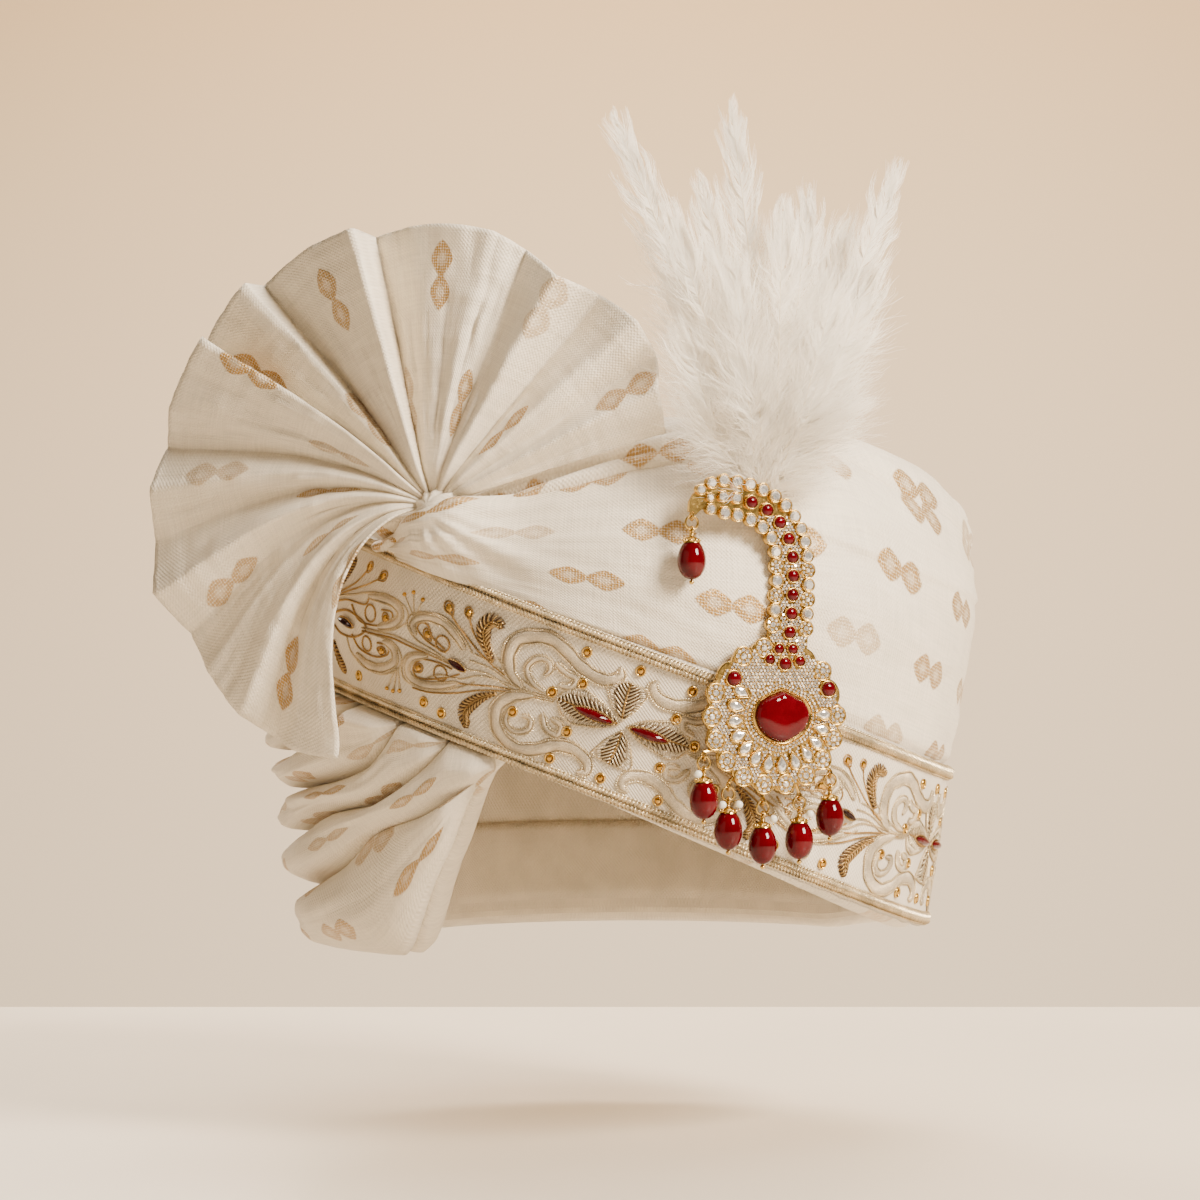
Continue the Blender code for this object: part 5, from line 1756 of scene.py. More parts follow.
def drop_bead():
    """A ruby glass bead, slightly fuller below."""
    profile = []
    for k in range(25):
        angle = math.pi * k / 24
        full = (1 + 0.07 * math.cos(angle)) / 1.07 if angle < 1.57 else 1
        radius = BEAD_RADIUS * math.sin(angle) * (1 - 0.07 * math.cos(angle)) + 0.00002
        profile.append((radius, BEAD_TOP - BEAD_HEIGHT / 2 + BEAD_HEIGHT / 2 * math.cos(angle) * full))
    return lathe(profile, 36)


class TURBAN_OT_drops(bpy.types.Operator):
    """Adds the jump rings, headpins, bead caps, ruby drops and small pearls that hang from the brooch"""

    bl_idname = "turban.drops"
    bl_label = "Hanging drops"

    def execute(self, context):
        brooch = brooch_matrix()
        turn = math.atan2(brooch[1][0], brooch[0][0])
        rings, pins, caps, beads, pearls = [], [], [], [], []
        for number, spot in enumerate(drop_places()):
            hole = brooch @ Vector((spot.x, spot.y, PLATE_THICKNESS / 2))
            hang = Matrix.Translation(hole) @ Matrix.Rotation(turn, 4, "Z")

            def moved(parts):
                return [([hang @ Vector(point) for point in points], faces) for points, faces in parts]

            ring = [Vector((RING_RADIUS * math.sin(a), 0.0, RING_RADIUS * (math.cos(a) - 1))) for a in turns(32)]
            rings += moved([tube(ring, RING_WIRE, 10, closed=True)])
            pins += moved(headpin())
            caps += moved(bead_cap())
            beads += moved([drop_bead()])
            for owner, side in PEARLS:
                if owner != number:
                    continue
                centre = Vector((side * 0.0031, -0.0022, BEAD_TOP + 0.0016))
                pearls += moved([lathe(ball_profile(PEARL_RADIUS, 12), 20, centre)])
                low, high = centre + Vector((0, 0, -0.0019)), centre + Vector((0, 0, 0.0018))
                wire = tube([low, high, Vector((0, -0.0004, -2 * RING_RADIUS - 0.0008))], 0.00022, 6)
                pins += moved([wire, lathe(ball_profile(0.0004, 6), 8, centre + Vector((0, 0, -0.0017)))])
        still = Matrix.Identity(4)
        numbers = range(1, DROP_COUNT + 2)
        for name, parts, material, smooth_angle, solid in (
            ("jump_rings", rings, "burnished_gold", 60, "drop_ring"),
            ("headpins", pins, "burnished_gold", 60, "drop_pin"),
            ("bead_caps", caps, "burnished_gold", 50, None),
            ("ruby_drops", beads, "ruby_glass_drop", 80, "drop_bead"),
            ("pearl_beads", pearls, "pearl_bead", 80, None),
        ):
            made = in_place(name, parts, still, material, smooth_angle)
            solids = [f"{solid}_{n}" for n in numbers] if solid else []
            kept(made, "ruby_glass" if name == "ruby_drops" else "gold", *solids)
        return {"FINISHED"}


# Embroidery of the band

Stitched = namedtuple("Stitched", "kind size points")
Copy = namedtuple("Copy", "way shift first last")
FLOWER_ANGLE = -93.6
# How the drawn half is set along the band, in millimetres: its direction, its shift and which strokes are used
COPIES = (
    Copy(1, 0.0, -140.0, 30.0),
    Copy(-1, 0.0, -76.0, -2.0),
    Copy(1, 151.0, -76.0, 30.0),
    Copy(-1, 151.0, -140.0, -2.0),
    Copy(-1, -264.0, -140.0, -106.0),
)
BAND_REACH = (-160.0, 281.0)
# Strokes of the embroidery in millimetres along and across the band from the middle of the four-petal flower
BEAD_PLACES = (
    (-111.4, -20.5), (-73.5, -20.1), (-64.8, -21.5), (-16.8, -10.0), (-36.9, -10.4), (-16.4, 9.2), (-18.2, 20.8),
    (0.0, 21.2), (-25.3, 2.1), (-20.0, -21.9), (-1.1, -21.9),
)
STROKES = (
    Stitched("petal", 6.3, ((-1.0, -0.2), (-11.4, 0.3), (-22.9, 0.6))),
    Stitched("petal", 6.2, ((1.9, -0.2), (12.5, 0.6), (23.9, 1.1))),
    Stitched("petal", 6.3, ((-0.4, 1.4), (-1.3, 8.7), (-1.5, 15.6))),
    Stitched("petal", 6.5, ((0.8, -2.2), (0.8, -8.2), (0.1, -15.6))),
    Stitched("ruby", 3.1, ((-16.6, 0.0), (-2.7, -0.4))),
    Stitched("ruby", 3.1, ((2.9, -0.0), (16.3, 0.2))),
    Stitched("garnet", 2.0, ((-64.2, 0.0), (-57.0, -1.9))),
    Stitched("garnet", 2.0, ((-123.4, -0.5), (-113.5, -2.0))),
    Stitched("satin", 4.8, (
        (-36.2, -0.4), (-41.3, 3.9), (-43.0, 10.5), (-41.3, 16.2), (-36.3, 19.3), (-31.0, 20.7), (-25.3, 18.9),
        (-20.0, 15.6), (-14.7, 13.6), (-9.4, 13.5), (-5.7, 16.5), (-6.2, 19.9),
    )),
    Stitched("satin", 2.2, (
        (-27.3, 0.9), (-32.9, 2.9), (-35.7, 7.4), (-33.6, 11.8), (-29.7, 12.8), (-28.0, 9.8), (-29.4, 7.0),
    )),
    Stitched("satin", 2.6, ((-26.7, 13.0), (-23.0, 10.8), (-18.7, 9.9), (-19.9, 6.3), (-24.0, 5.4))),
    Stitched("satin", 4.6, (
        (-31.5, -2.0), (-38.3, -5.0), (-42.7, -10.2), (-42.5, -16.1), (-39.2, -20.8), (-32.8, -23.1), (-25.6, -20.8),
        (-19.1, -16.5), (-12.9, -15.4), (-7.8, -17.6), (-6.3, -21.6), (-9.2, -23.0),
    )),
    Stitched("satin", 2.0, (
        (-38.5, -10.1), (-38.6, -15.1), (-34.7, -17.3), (-30.1, -14.7), (-30.0, -10.6), (-33.5, -10.5),
    )),
    Stitched("satin", 2.4, ((-26.5, -6.9), (-24.3, -11.6), (-19.8, -12.6), (-19.3, -8.7), (-23.1, -7.5))),
    Stitched("satin", 2.8, (
        (-80.1, 4.0), (-82.2, 7.3), (-79.7, 10.4), (-74.8, 12.1), (-68.8, 12.0), (-63.5, 9.2), (-59.2, 5.3),
    )),
    Stitched("satin", 2.6, (
        (-74.0, -2.1), (-80.8, -5.0), (-83.1, -9.3), (-81.0, -12.8), (-75.0, -13.6), (-67.0, -11.6), (-59.9, -8.0),
    )),
    Stitched("satin", 3.0, ((-106.3, 11.1), (-96.4, 12.4), (-89.7, 11.2), (-88.4, 7.8), (-92.5, 4.1), (-99.1, 1.5))),
    Stitched("satin", 3.0, (
        (-112.5, -12.1), (-105.7, -14.6), (-96.3, -13.7), (-89.7, -9.3), (-90.4, -4.5), (-95.9, -2.9),
    )),
    Stitched("paleline", 0.42, ((-23.4, 0.1), (-31.9, -0.8), (-38.9, 1.2), (-48.2, 4.2), (-55.2, 5.3))),
    Stitched("paleline", 0.42, ((-23.7, -0.6), (-31.6, -1.8), (-39.5, -0.4), (-48.7, 2.2), (-56.6, 2.2))),
    Stitched("paleline", 0.42, ((-23.9, -1.4), (-31.4, -2.6), (-40.0, -2.2), (-49.1, -0.2), (-56.9, -1.5))),
    Stitched("paleline", 0.42, ((-24.8, 0.2), (-31.4, 1.0), (-37.9, 2.9), (-46.3, 6.6), (-49.5, 10.0), (-51.9, 14.4))),
    Stitched("paleline", 0.42, (
        (-30.8, -1.3), (-42.2, -1.0), (-51.7, -2.0), (-59.2, -6.0), (-67.7, -7.3), (-73.0, -10.4),
    )),
    Stitched("goldline", 0.4, ((-42.8, 1.6), (-51.3, 5.3), (-58.1, 9.6), (-64.0, 13.7), (-67.4, 16.9))),
    Stitched("goldline", 0.4, ((-46.9, 2.8), (-53.0, 8.7), (-57.5, 13.3), (-59.9, 18.1))),
    Stitched("goldline", 0.4, (
        (-28.8, -1.9), (-39.6, -3.7), (-50.6, -7.4), (-60.2, -12.0), (-71.1, -15.5), (-79.6, -16.4),
    )),
    Stitched("goldline", 0.4, ((-38.0, -2.4), (-47.2, -4.4), (-54.8, -6.7), (-63.0, -8.6))),
    Stitched("paleline", 0.42, (
        (-63.7, -1.3), (-71.6, 0.7), (-79.8, 2.4), (-84.4, 6.3), (-83.6, 10.4), (-77.9, 13.2), (-71.0, 14.3),
        (-65.4, 12.9), (-60.0, 9.2), (-56.0, 5.2),
    )),
    Stitched("goldline", 0.4, (
        (-66.3, 1.7), (-74.2, 3.2), (-79.5, 6.2), (-78.6, 9.1), (-75.3, 9.2), (-73.0, 5.7), (-67.0, 2.8),
    )),
    Stitched("paleline", 0.42, (
        (-61.9, -2.8), (-68.6, -1.0), (-77.5, -1.8), (-83.9, -5.0), (-85.9, -10.5), (-83.5, -14.6), (-76.0, -15.3),
        (-66.7, -13.4), (-58.6, -9.1), (-53.1, -5.0),
    )),
    Stitched("goldline", 0.4, (
        (-62.8, -3.5), (-68.3, -3.0), (-76.1, -4.1), (-79.9, -7.9), (-78.3, -11.5), (-71.8, -10.5), (-64.3, -7.2),
        (-59.5, -4.2),
    )),
    Stitched("paleline", 0.42, (
        (-64.3, -0.8), (-73.1, -0.5), (-82.5, 0.1), (-90.1, 0.6), (-99.6, -0.4), (-108.0, -1.1),
    )),
    Stitched("goldline", 0.4, (
        (-64.2, -1.7), (-73.0, -1.3), (-83.0, -1.0), (-91.3, -0.6), (-100.3, -1.6), (-108.7, -2.4),
    )),
    Stitched("paleline", 0.42, (
        (-131.1, 5.6), (-115.9, 9.4), (-103.8, 12.9), (-92.8, 13.9), (-85.5, 11.5), (-85.3, 6.9), (-90.4, 3.0),
        (-98.2, 0.1), (-108.8, -1.3),
    )),
    Stitched("goldline", 0.4, ((-116.6, 5.7), (-110.6, 1.0), (-99.8, 1.8), (-92.7, 5.3), (-92.7, 8.7), (-98.1, 8.2))),
    Stitched("paleline", 0.42, (
        (-119.5, -6.9), (-116.2, -12.4), (-107.5, -16.1), (-96.3, -16.0), (-87.3, -11.1), (-86.5, -5.3), (-91.2, -1.9),
        (-98.1, -1.9), (-105.5, -2.3),
    )),
    Stitched("goldline", 0.4, (
        (-115.6, -5.2), (-110.5, -9.4), (-100.8, -10.3), (-93.6, -7.6), (-93.8, -4.1), (-99.4, -4.6),
    )),
    Stitched("goldline", 0.45, (
        (-131.1, -0.4), (-119.8, 2.8), (-109.3, 1.5), (-106.5, -1.5), (-113.5, -5.8), (-123.5, -6.7), (-129.9, -4.4),
    )),
    Stitched("goldline", 0.4, ((-131.7, 3.4), (-120.6, 6.5), (-108.4, 7.5), (-106.1, 10.5))),
    Stitched("ring", 2.9, ((-68.2, 4.6),)),
    Stitched("ring", 2.9, ((-67.5, -6.7),)),
    Stitched("ring", 3.1, ((-104.3, 5.2),)),
    Stitched("ring", 2.8, ((-105.8, -6.6),)),
    Stitched("spray", 0.35, ((-82.3, 10.5), (-87.9, 16.6))),
    Stitched("spray", 0.35, ((-81.9, 10.7), (-84.0, 18.5))),
    Stitched("spray", 0.35, ((-81.2, 10.9), (-79.3, 17.3))),
    Stitched("spray", 0.35, ((-88.8, -11.5), (-93.1, -20.7))),
    Stitched("spray", 0.35, ((-88.2, -11.3), (-89.6, -20.8))),
    Stitched("spray", 0.35, ((-87.7, -11.2), (-86.0, -19.7))),
    Stitched("leaf", 2.3, ((-128.4, 8.2), (-124.9, 14.0), (-119.9, 21.6))),
    Stitched("leaf", 2.1, ((-130.2, -10.8), (-127.2, -16.3), (-121.9, -21.3))),
    Stitched("leaf", 3.1, ((-48.0, 5.2), (-51.6, 10.1), (-53.3, 14.8), (-51.5, 18.8), (-47.3, 19.1))),
    Stitched("leaf", 2.9, ((-44.3, -6.3), (-49.9, -10.3), (-54.9, -16.8), (-53.6, -22.8))),
    Stitched("goldline", 0.4, ((-127.4, 8.0), (-116.0, 13.9), (-109.8, 20.7))),
    Stitched("goldline", 0.4, ((-125.2, 7.9), (-110.6, 13.8), (-101.8, 18.8))),
    Stitched("drop", 2.0, ((-110.0, 19.5), (-109.1, 22.8))),
    Stitched("drop", 2.4, ((-102.9, 17.9), (-99.0, 21.1))),
    Stitched("drop", 2.4, ((-66.9, 16.9), (-69.6, 19.6))),
    Stitched("drop", 2.0, ((-59.9, 18.0), (-60.9, 20.7))),
    Stitched("drop", 2.2, ((-94.7, 4.8), (-96.7, 7.2))),
    Stitched("drop", 2.2, ((-97.9, -6.9), (-94.7, -7.3))),
    Stitched("drop", 2.2, ((-73.9, 4.6), (-76.2, 7.4))),
    Stitched("drop", 2.2, ((-79.1, -9.5), (-76.0, -6.7))),
    *(Stitched("bead", 1.9, (place,)) for place in BEAD_PLACES),
)
LINE_LIFT = 0.0036
BAND_SQUEEZE = 0.92
CORD_STEP = 0.00030
CORD_TWIST = 2300.0
SATIN_PITCH = 0.00040
PETAL_PITCH = 0.00078
LEAF_PITCH = 0.00072
LINE_PITCH = 0.0007
OUTLINE_RADIUS = 0.00042
BEAD_RING_TIERS = ((1.0, 0.0), (1.02, 0.6), (0.88, 1.0), (0.70, 0.7), (0.68, 0.0))
CUT_BEAD_TIERS = ((1.0, 0.0), (0.96, 0.4), (0.72, 0.85), (0.3, 1.0))
MARQUISE_TIERS = ((0.9, -0.2), (1.0, 0.25), (0.86, 0.62), (0.55, 0.9), (0.2, 1.0))


def band_chart():
    """A function that gives the point and the directions along, across and out for a place on the band."""
    angles, reached = arc_table(band_middle, -175, 60)
    rows = list(zip(reached, angles))
    start = through(list(zip(angles, reached)), FLOWER_ANGLE)

    def spot(along, across, lift):
        arc = start + along
        angle = through(rows, arc)
        height = band_middle(angle)
        slope = math.atan2(band_middle(through(rows, arc + 0.001)) - height, 0.001)
        turned = through(rows, arc - across * math.sin(slope))
        return off_crown(turned, height + across * math.cos(slope), lift)

    def place(along, across, lift):
        here = spot(along, across, lift)
        forward = (spot(along + 0.0008, across, lift) - here).normalized()
        up = (spot(along, across + 0.0008, lift) - here).normalized()
        out = forward.cross(up).normalized()
        return here, forward, out.cross(forward), out

    return place


def cord_tree():
    """A node tree that lays a twisted cord along each line of a mesh."""
    tree = new_group("twisted_cord", Step="Float", Twist="Float", Strands="Int", Finish="Material")
    given = node(tree, "NodeGroupInput")
    lines = node(tree, "GeometryNodeMeshToCurve", {0: (given, "Geometry")})
    even = node(tree, "GeometryNodeResampleCurve", {"Curve": lines, "Length": (given, "Step")}, mode="LENGTH")
    reached = node(tree, "GeometryNodeSplineParameter")
    turned = calc(tree, "MULTIPLY", (reached, "Length"), (given, "Twist"))
    signed = calc(tree, "MULTIPLY", turned, attribute(tree, "way", "FLOAT"))
    tilted = node(tree, "GeometryNodeSetCurveTilt", {"Curve": even, "Tilt": signed})
    section = node(
        tree, "GeometryNodeCurveStar", {"Points": (given, "Strands"), "Inner Radius": 0.50, "Outer Radius": 1.0}
    )
    thick = attribute(tree, "thick", "FLOAT")
    made = node(
        tree,
        "GeometryNodeCurveToMesh",
        {"Curve": tilted, "Profile Curve": section, "Scale": thick, "Fill Caps": True},
    )
    real = node(tree, "GeometryNodeRealizeInstances", {0: made})
    faceted = node(tree, "GeometryNodeSetShadeSmooth", {0: real, "Shade Smooth": False})
    finished = node(tree, "GeometryNodeSetMaterial", {"Geometry": faceted, "Material": (given, "Finish")})
    node(tree, "NodeGroupOutput", {0: finished})
    return tree


def twisted_cords(name, lines, material, step, twist):
    """Cords of two strands along lines of (points, radius, way of the twist)."""
    tree = bpy.data.node_groups.get("twisted_cord") or cord_tree()
    points, edges, thick, ways = [], [], [], []
    for line, radius, way in lines:
        edges += [(len(points) + k, len(points) + k + 1) for k in range(len(line) - 1)]
        points += line
        thick += [radius] * len(line)
        ways += [way] * len(line)
    mesh = bpy.data.meshes.new(name)
    mesh.from_pydata(points, edges, [])
    mesh.attributes.new("thick", "FLOAT", "POINT").data.foreach_set("value", thick)
    mesh.attributes.new("way", "FLOAT", "POINT").data.foreach_set("value", ways)
    finish = bpy.data.materials[material]
    return run_group(add_object(name, mesh), tree, Step=step, Twist=twist, Strands=2, Finish=finish)


def stitch_template():
    """One thread lying along X from -0.5 to 0.5 and arched up, with a cross-section one unit wide."""
    points, faces = [], []
    for k in range(6):
        t = k / 5 * 2 - 1
        size = 0.5 * (1 - 0.55 * t**6)
        for j in range(4):
            turn = math.pi * (0.25 + j / 2)
            points.append((t / 2, size * math.cos(turn), 1 - t * t + size * math.sin(turn)))
    for k in range(5):
        for j in range(4):
            a, b = k * 4 + j, k * 4 + (j + 1) % 4
            faces.append((a, a + 4, b + 4, b))
    faces += [(0, 1, 2, 3), (23, 22, 21, 20)]
    return template_mesh("thread", points, faces, smooth=True)


def bead_ring():
    """A turned ring that a bead sits in."""
    rows = len(BEAD_RING_TIERS)
    points = [
        (reach * math.cos(turn), reach * math.sin(turn), height)
        for turn in turns(14)
        for reach, height in BEAD_RING_TIERS
    ]
    faces = []
    for k in range(14):
        for j in range(rows):
            a, b = k * rows + j, k * rows + (j + 1) % rows
            faces.append((a, (a + rows) % len(points), (b + rows) % len(points), b))
    return template_mesh("bead_ring", points, faces, smooth=True)


def flat_line(points, pitch):
    """A smooth line in the flat through points given in millimetres, and the direction to its left at each point."""
    rough = [Vector(point) / 1000 for point in points]
    length = sum((b - a).length for a, b in zip(rough, rough[1:]))
    line = smooth_route(rough, max(3, int(length / pitch) + 1))
    sides = []
    for before, after in zip(line[:1] + line, line[1:] + line[-1:]):
        along = (after - before).normalized()
        sides.append(Vector((-along.y, along.x)))
    return line, sides


class Embroidery:
    """Collects cords, stitches, beads and stones that are drawn flat and laid on the band."""

    def __init__(self, chart):
        self.chart = chart
        self.copy = COPIES[0]
        self.cords = {"pale": [], "gold": []}
        self.stitches = {"ivory": [], "pale": [], "gold": [], "bronze": []}
        self.stones = {"ruby": [], "garnet": []}
        self.rings, self.beads = [], []

    def lay(self, point, lift):
        along = self.copy.way * point.x + self.copy.shift / 1000
        moved = Vector((along, point.y * BAND_SQUEEZE))
        return self.chart(moved.x, moved.y, LINE_LIFT + lift)

    def turned(self, point, direction, lift):
        """The place of a point on the band and the rotation whose X looks along a flat direction."""
        here, forward, up, out = self.lay(point, lift)
        flat = Vector((self.copy.way * direction.x, direction.y)).normalized()
        along = (forward * flat.x + up * flat.y).normalized()
        return here, tuple(Matrix((along, out.cross(along), out)).transposed().to_euler())

    def cord(self, colour, line, radius, lift=0.0003):
        self.cords[colour].append(([self.lay(point, lift)[0] for point in line], radius, self.copy.way))

    def stitch(self, colour, a, b, thick, lift, arch):
        here, turn = self.turned((a + b) / 2, b - a, lift)
        self.stitches[colour].append(Spot(here, turn, ((b - a).length, thick, thick * arch), 0))

    def satin(self, stroke):
        line, sides = flat_line(stroke.points, SATIN_PITCH)
        left, right = [], []
        for k, (point, side) in enumerate(zip(line, sides)):
            t = k / (len(line) - 1)
            wide = stroke.size / 2000 * math.sqrt(max(0.05, 1 - (2 * t - 1) ** 6)) * (1 + 0.06 * math.sin(k * 0.35))
            along = Vector((side.y, -side.x))
            lean = along * wide * 0.45
            uneven = 1 + 0.10 * (chance(k, stroke.size) - 0.5)
            start, end = point - side * wide * uneven - lean, point + side * wide * uneven + lean
            self.stitch("ivory", start, end, 0.00052, 0.0, 1.25)
            if k % 2 == 0:
                left.append(point + side * wide * 1.06)
                right.append(point - side * wide * 1.06)
        self.cord("pale", left + right[::-1] + left[:1], 0.00046, 0.0004)

    def petal(self, stroke):
        line, sides = flat_line(stroke.points, PETAL_PITCH)
        count = len(line)
        left, right = [], []
        for k, (point, side) in enumerate(zip(line, sides)):
            t = k / (count - 1)
            wide = stroke.size / 1000 * math.sin(math.pi * t**0.85) ** 0.7 * (1 + 0.05 * math.sin(t * 19))
            along = Vector((side.y, -side.x))
            for way in (-1, 1):
                reach = max(0.0006, wide * (0.66 + 0.12 * chance(k, way)))
                lean = along * min(reach * 0.9, (1 - t) * 0.012)
                # Every second stitch is dark and set lower: painted shade between the raised stitches
                colour, level = (("pale", 0.0004), ("bronze", 0.0))[k % 2]
                self.stitch(colour, point, point + side * way * reach + lean, 0.00056, level, 1.2)
                inner, outer = side * way * wide * 0.60, side * way * max(0.0008, wide * 1.0)
                self.stitch("ivory", point + inner + lean * 0.8, point + outer + lean, 0.00060, 0.0, 1.0)
            if k % 2 == 0 or k == count - 1:
                lean = along * min(wide * 0.9, (1 - t) * 0.012)
                left.append(point + side * (wide * 1.05 + 0.0002) + lean)
                right.append(point - side * (wide * 1.05 + 0.0002) + lean)
        self.cord("pale", [line[0]] + left + right[::-1] + [line[0]], 0.00050, 0.0004)
        self.cord("gold", line, OUTLINE_RADIUS, 0.0006)

    def leaf(self, stroke):
        line, sides = flat_line(stroke.points, LEAF_PITCH)
        for k, (point, side) in enumerate(zip(line, sides)):
            t = k / (len(line) - 1)
            wide = stroke.size / 1000 * math.sin(math.pi * (0.06 + 0.88 * t**1.25)) ** 0.8
            along = Vector((side.y, -side.x))
            for way in (-1, 1):
                # Every second stitch is dark and set lower: painted shade between the raised stitches
                colour, level = (("gold", 0.0003), ("bronze", 0.0))[k % 2]
                end = point + side * way * wide + along * wide * 0.85
                self.stitch(colour, point - along * 0.0004, end, 0.00066, level, 1.2)
        self.cord("gold", line, OUTLINE_RADIUS, 0.0009)

    def drop(self, stroke):
        start, end = (Vector(point) / 1000 for point in stroke.points)
        along = (end - start).normalized()
        centre = end - along * stroke.size / 1000
        turn = math.atan2(along.y, along.x)
        shape = []
        for x, y in teardrop(16, stroke.size / 900, stroke.size / 1250):
            across = math.cos(turn) * -x - math.sin(turn) * y
            shape.append(centre + Vector((across, math.sin(turn) * -x + math.cos(turn) * y)))
        self.cord("gold", shape + shape[:2], OUTLINE_RADIUS)
        here, rotation = self.turned(centre + along * 0.0002, along, 0.0002)
        self.beads.append(Spot(here, rotation, (stroke.size / 1500, stroke.size / 1900, 0.0008), 0))

    def bead(self, stroke):
        size = stroke.size / 1000
        here, rotation = self.turned(Vector(stroke.points[0]) / 1000, Vector((1, 0)), 0.0001)
        self.rings.append(Spot(here, rotation, (size, size * 1.05, 0.0009), 0))
        self.beads.append(Spot(here, rotation, (size * 0.62, size * 0.66, 0.0010), 0))

    def ring(self, stroke):
        centre = Vector(stroke.points[0]) / 1000
        ring = [centre + Vector(point) for point in circle(22, stroke.size / 1000)]
        self.cord("gold", ring + ring[:2], 0.00044)

    def marquise(self, stroke):
        start, end = (Vector(point) / 1000 for point in stroke.points)
        here, rotation = self.turned((start + end) / 2, end - start, 0.0011)
        half = (end - start).length / 2
        self.stones[stroke.kind].append(Spot(here, rotation, (half, stroke.size / 2000, 0.0021), 0))
        edge = []
        for k in range(33):
            turn = 2 * math.pi * k / 32
            along = (end - start).normalized() * half * 1.05 * math.cos(turn)
            side = Vector((-(end - start).y, (end - start).x)).normalized() * math.sin(turn)
            side = side * abs(math.sin(turn)) ** 0.4
            edge.append((start + end) / 2 + along + side * (stroke.size / 2000 + 0.0004))
        self.cord("gold", edge, 0.00040, 0.0012)

    ruby = garnet = marquise

    def paleline(self, stroke, colour="pale"):
        line = flat_line(stroke.points, LINE_PITCH)[0]
        self.cord(colour, line, stroke.size / 1000 * 1.1)
        return line[-1]

    def goldline(self, stroke):
        self.paleline(stroke, "gold")

    def spray(self, stroke):
        here, rotation = self.turned(self.paleline(stroke), Vector((1, 0)), 0.0003)
        self.beads.append(Spot(here, rotation, (0.0008, 0.0008, 0.0008), 0))


class TURBAN_OT_embroidery(bpy.types.Operator):
    """Adds the zari embroidery of the band: couched cords, satin stitch, plaited leaves, beads and stones"""

    bl_idname = "turban.embroidery"
    bl_label = "Band embroidery"

    def execute(self, context):
        work = Embroidery(band_chart())
        for copy in COPIES:
            work.copy = copy
            for stroke in STROKES:
                if copy.way < 0 and stroke.kind in ("petal", "ruby"):
                    continue
                middle = sum(point[0] for point in stroke.points) / len(stroke.points)
                reach = [copy.way * point[0] + copy.shift for point in stroke.points]
                inside = BAND_REACH[0] < min(reach) and max(reach) < BAND_REACH[1]
                if inside and copy.first < middle < copy.last:
                    getattr(work, stroke.kind)(stroke)
        for name, colour, finish in (
            ("zari_cords_pale", "pale", "silver_gilt_thread"),
            ("zari_cords_gold", "gold", "antique_gold_thread"),
        ):
            kept(twisted_cords(name, work.cords[colour], finish, CORD_STEP, CORD_TWIST), "zari_cord")
        thread = stitch_template()
        for name, colour, finish in (
            ("satin_stitches", "ivory", "ivory_satin_thread"),
            ("pale_stitches", "pale", "silver_gilt_thread"),
            ("gold_stitches", "gold", "antique_gold_thread"),
            ("bronze_stitches", "bronze", "bronze_thread"),
        ):
            kept(scatter(name, [thread], work.stitches[colour], finish), "zari_cord")
        kept(scatter("bead_rings", [bead_ring()], work.rings, "burnished_gold"), "gold")
        bead = template_mesh("cut_bead", *outline_rings(circle(12), CUT_BEAD_TIERS))
        kept(scatter("gold_cut_beads", [bead], work.beads, "amber_gold_bead"), "gold")
        oval = [(math.cos(turn), pointed_oval(turn)) for turn in turns(20)]
        cut = template_mesh("marquise", *outline_rings(oval, MARQUISE_TIERS))
        kept(scatter("marquise_rubies", [cut], work.stones["ruby"], "ruby_glass_stone"), "ruby_glass")
        kept(scatter("marquise_garnets", [cut], work.stones["garnet"], "garnet_glass"), "ruby_glass")
        return {"FINISHED"}


class TURBAN_OT_cords(bpy.types.Operator):
    """Adds the plaited zari cords along both edges of the band"""

    bl_idname = "turban.cords"
    bl_label = "Edge cords"

    def execute(self, context):
        angles = spaced(BAND_SPAN[0] + 0.4, BAND_SPAN[1] - 0.4, 0.5)
        for name, solid, edge, inset in (
            ("edge_cord_lower", "cord_lower", band_low, CORD_INSET),
            ("edge_cord_upper", "cord_upper", band_high, -CORD_INSET),
        ):
            lines = []
            for shift, way in ((-0.00094, 1.0), (0.00094, -1.0)):
                line = []
                for angle in angles:
                    waver = 0.0002 * noise.noise(Vector((angle * 0.5, shift * 1000, 7.0)))
                    height = edge(angle) + inset + shift + waver
                    line.append(off_crown(angle, height, LAY_GAP + BAND_THICKNESS + 0.0009))
                lines.append((line, 0.00112, way))
            for shift, way in ((-0.0021, 1.0), (0.0021, -1.0)):
                line = [off_crown(angle, edge(angle) + inset + shift, 0.0041) for angle in angles]
                lines.append((line, 0.0005, way))
            kept(twisted_cords(name, lines, "silver_gilt_thread", 0.00032, 1500.0), "zari_cord", solid)
        return {"FINISHED"}


# Plume

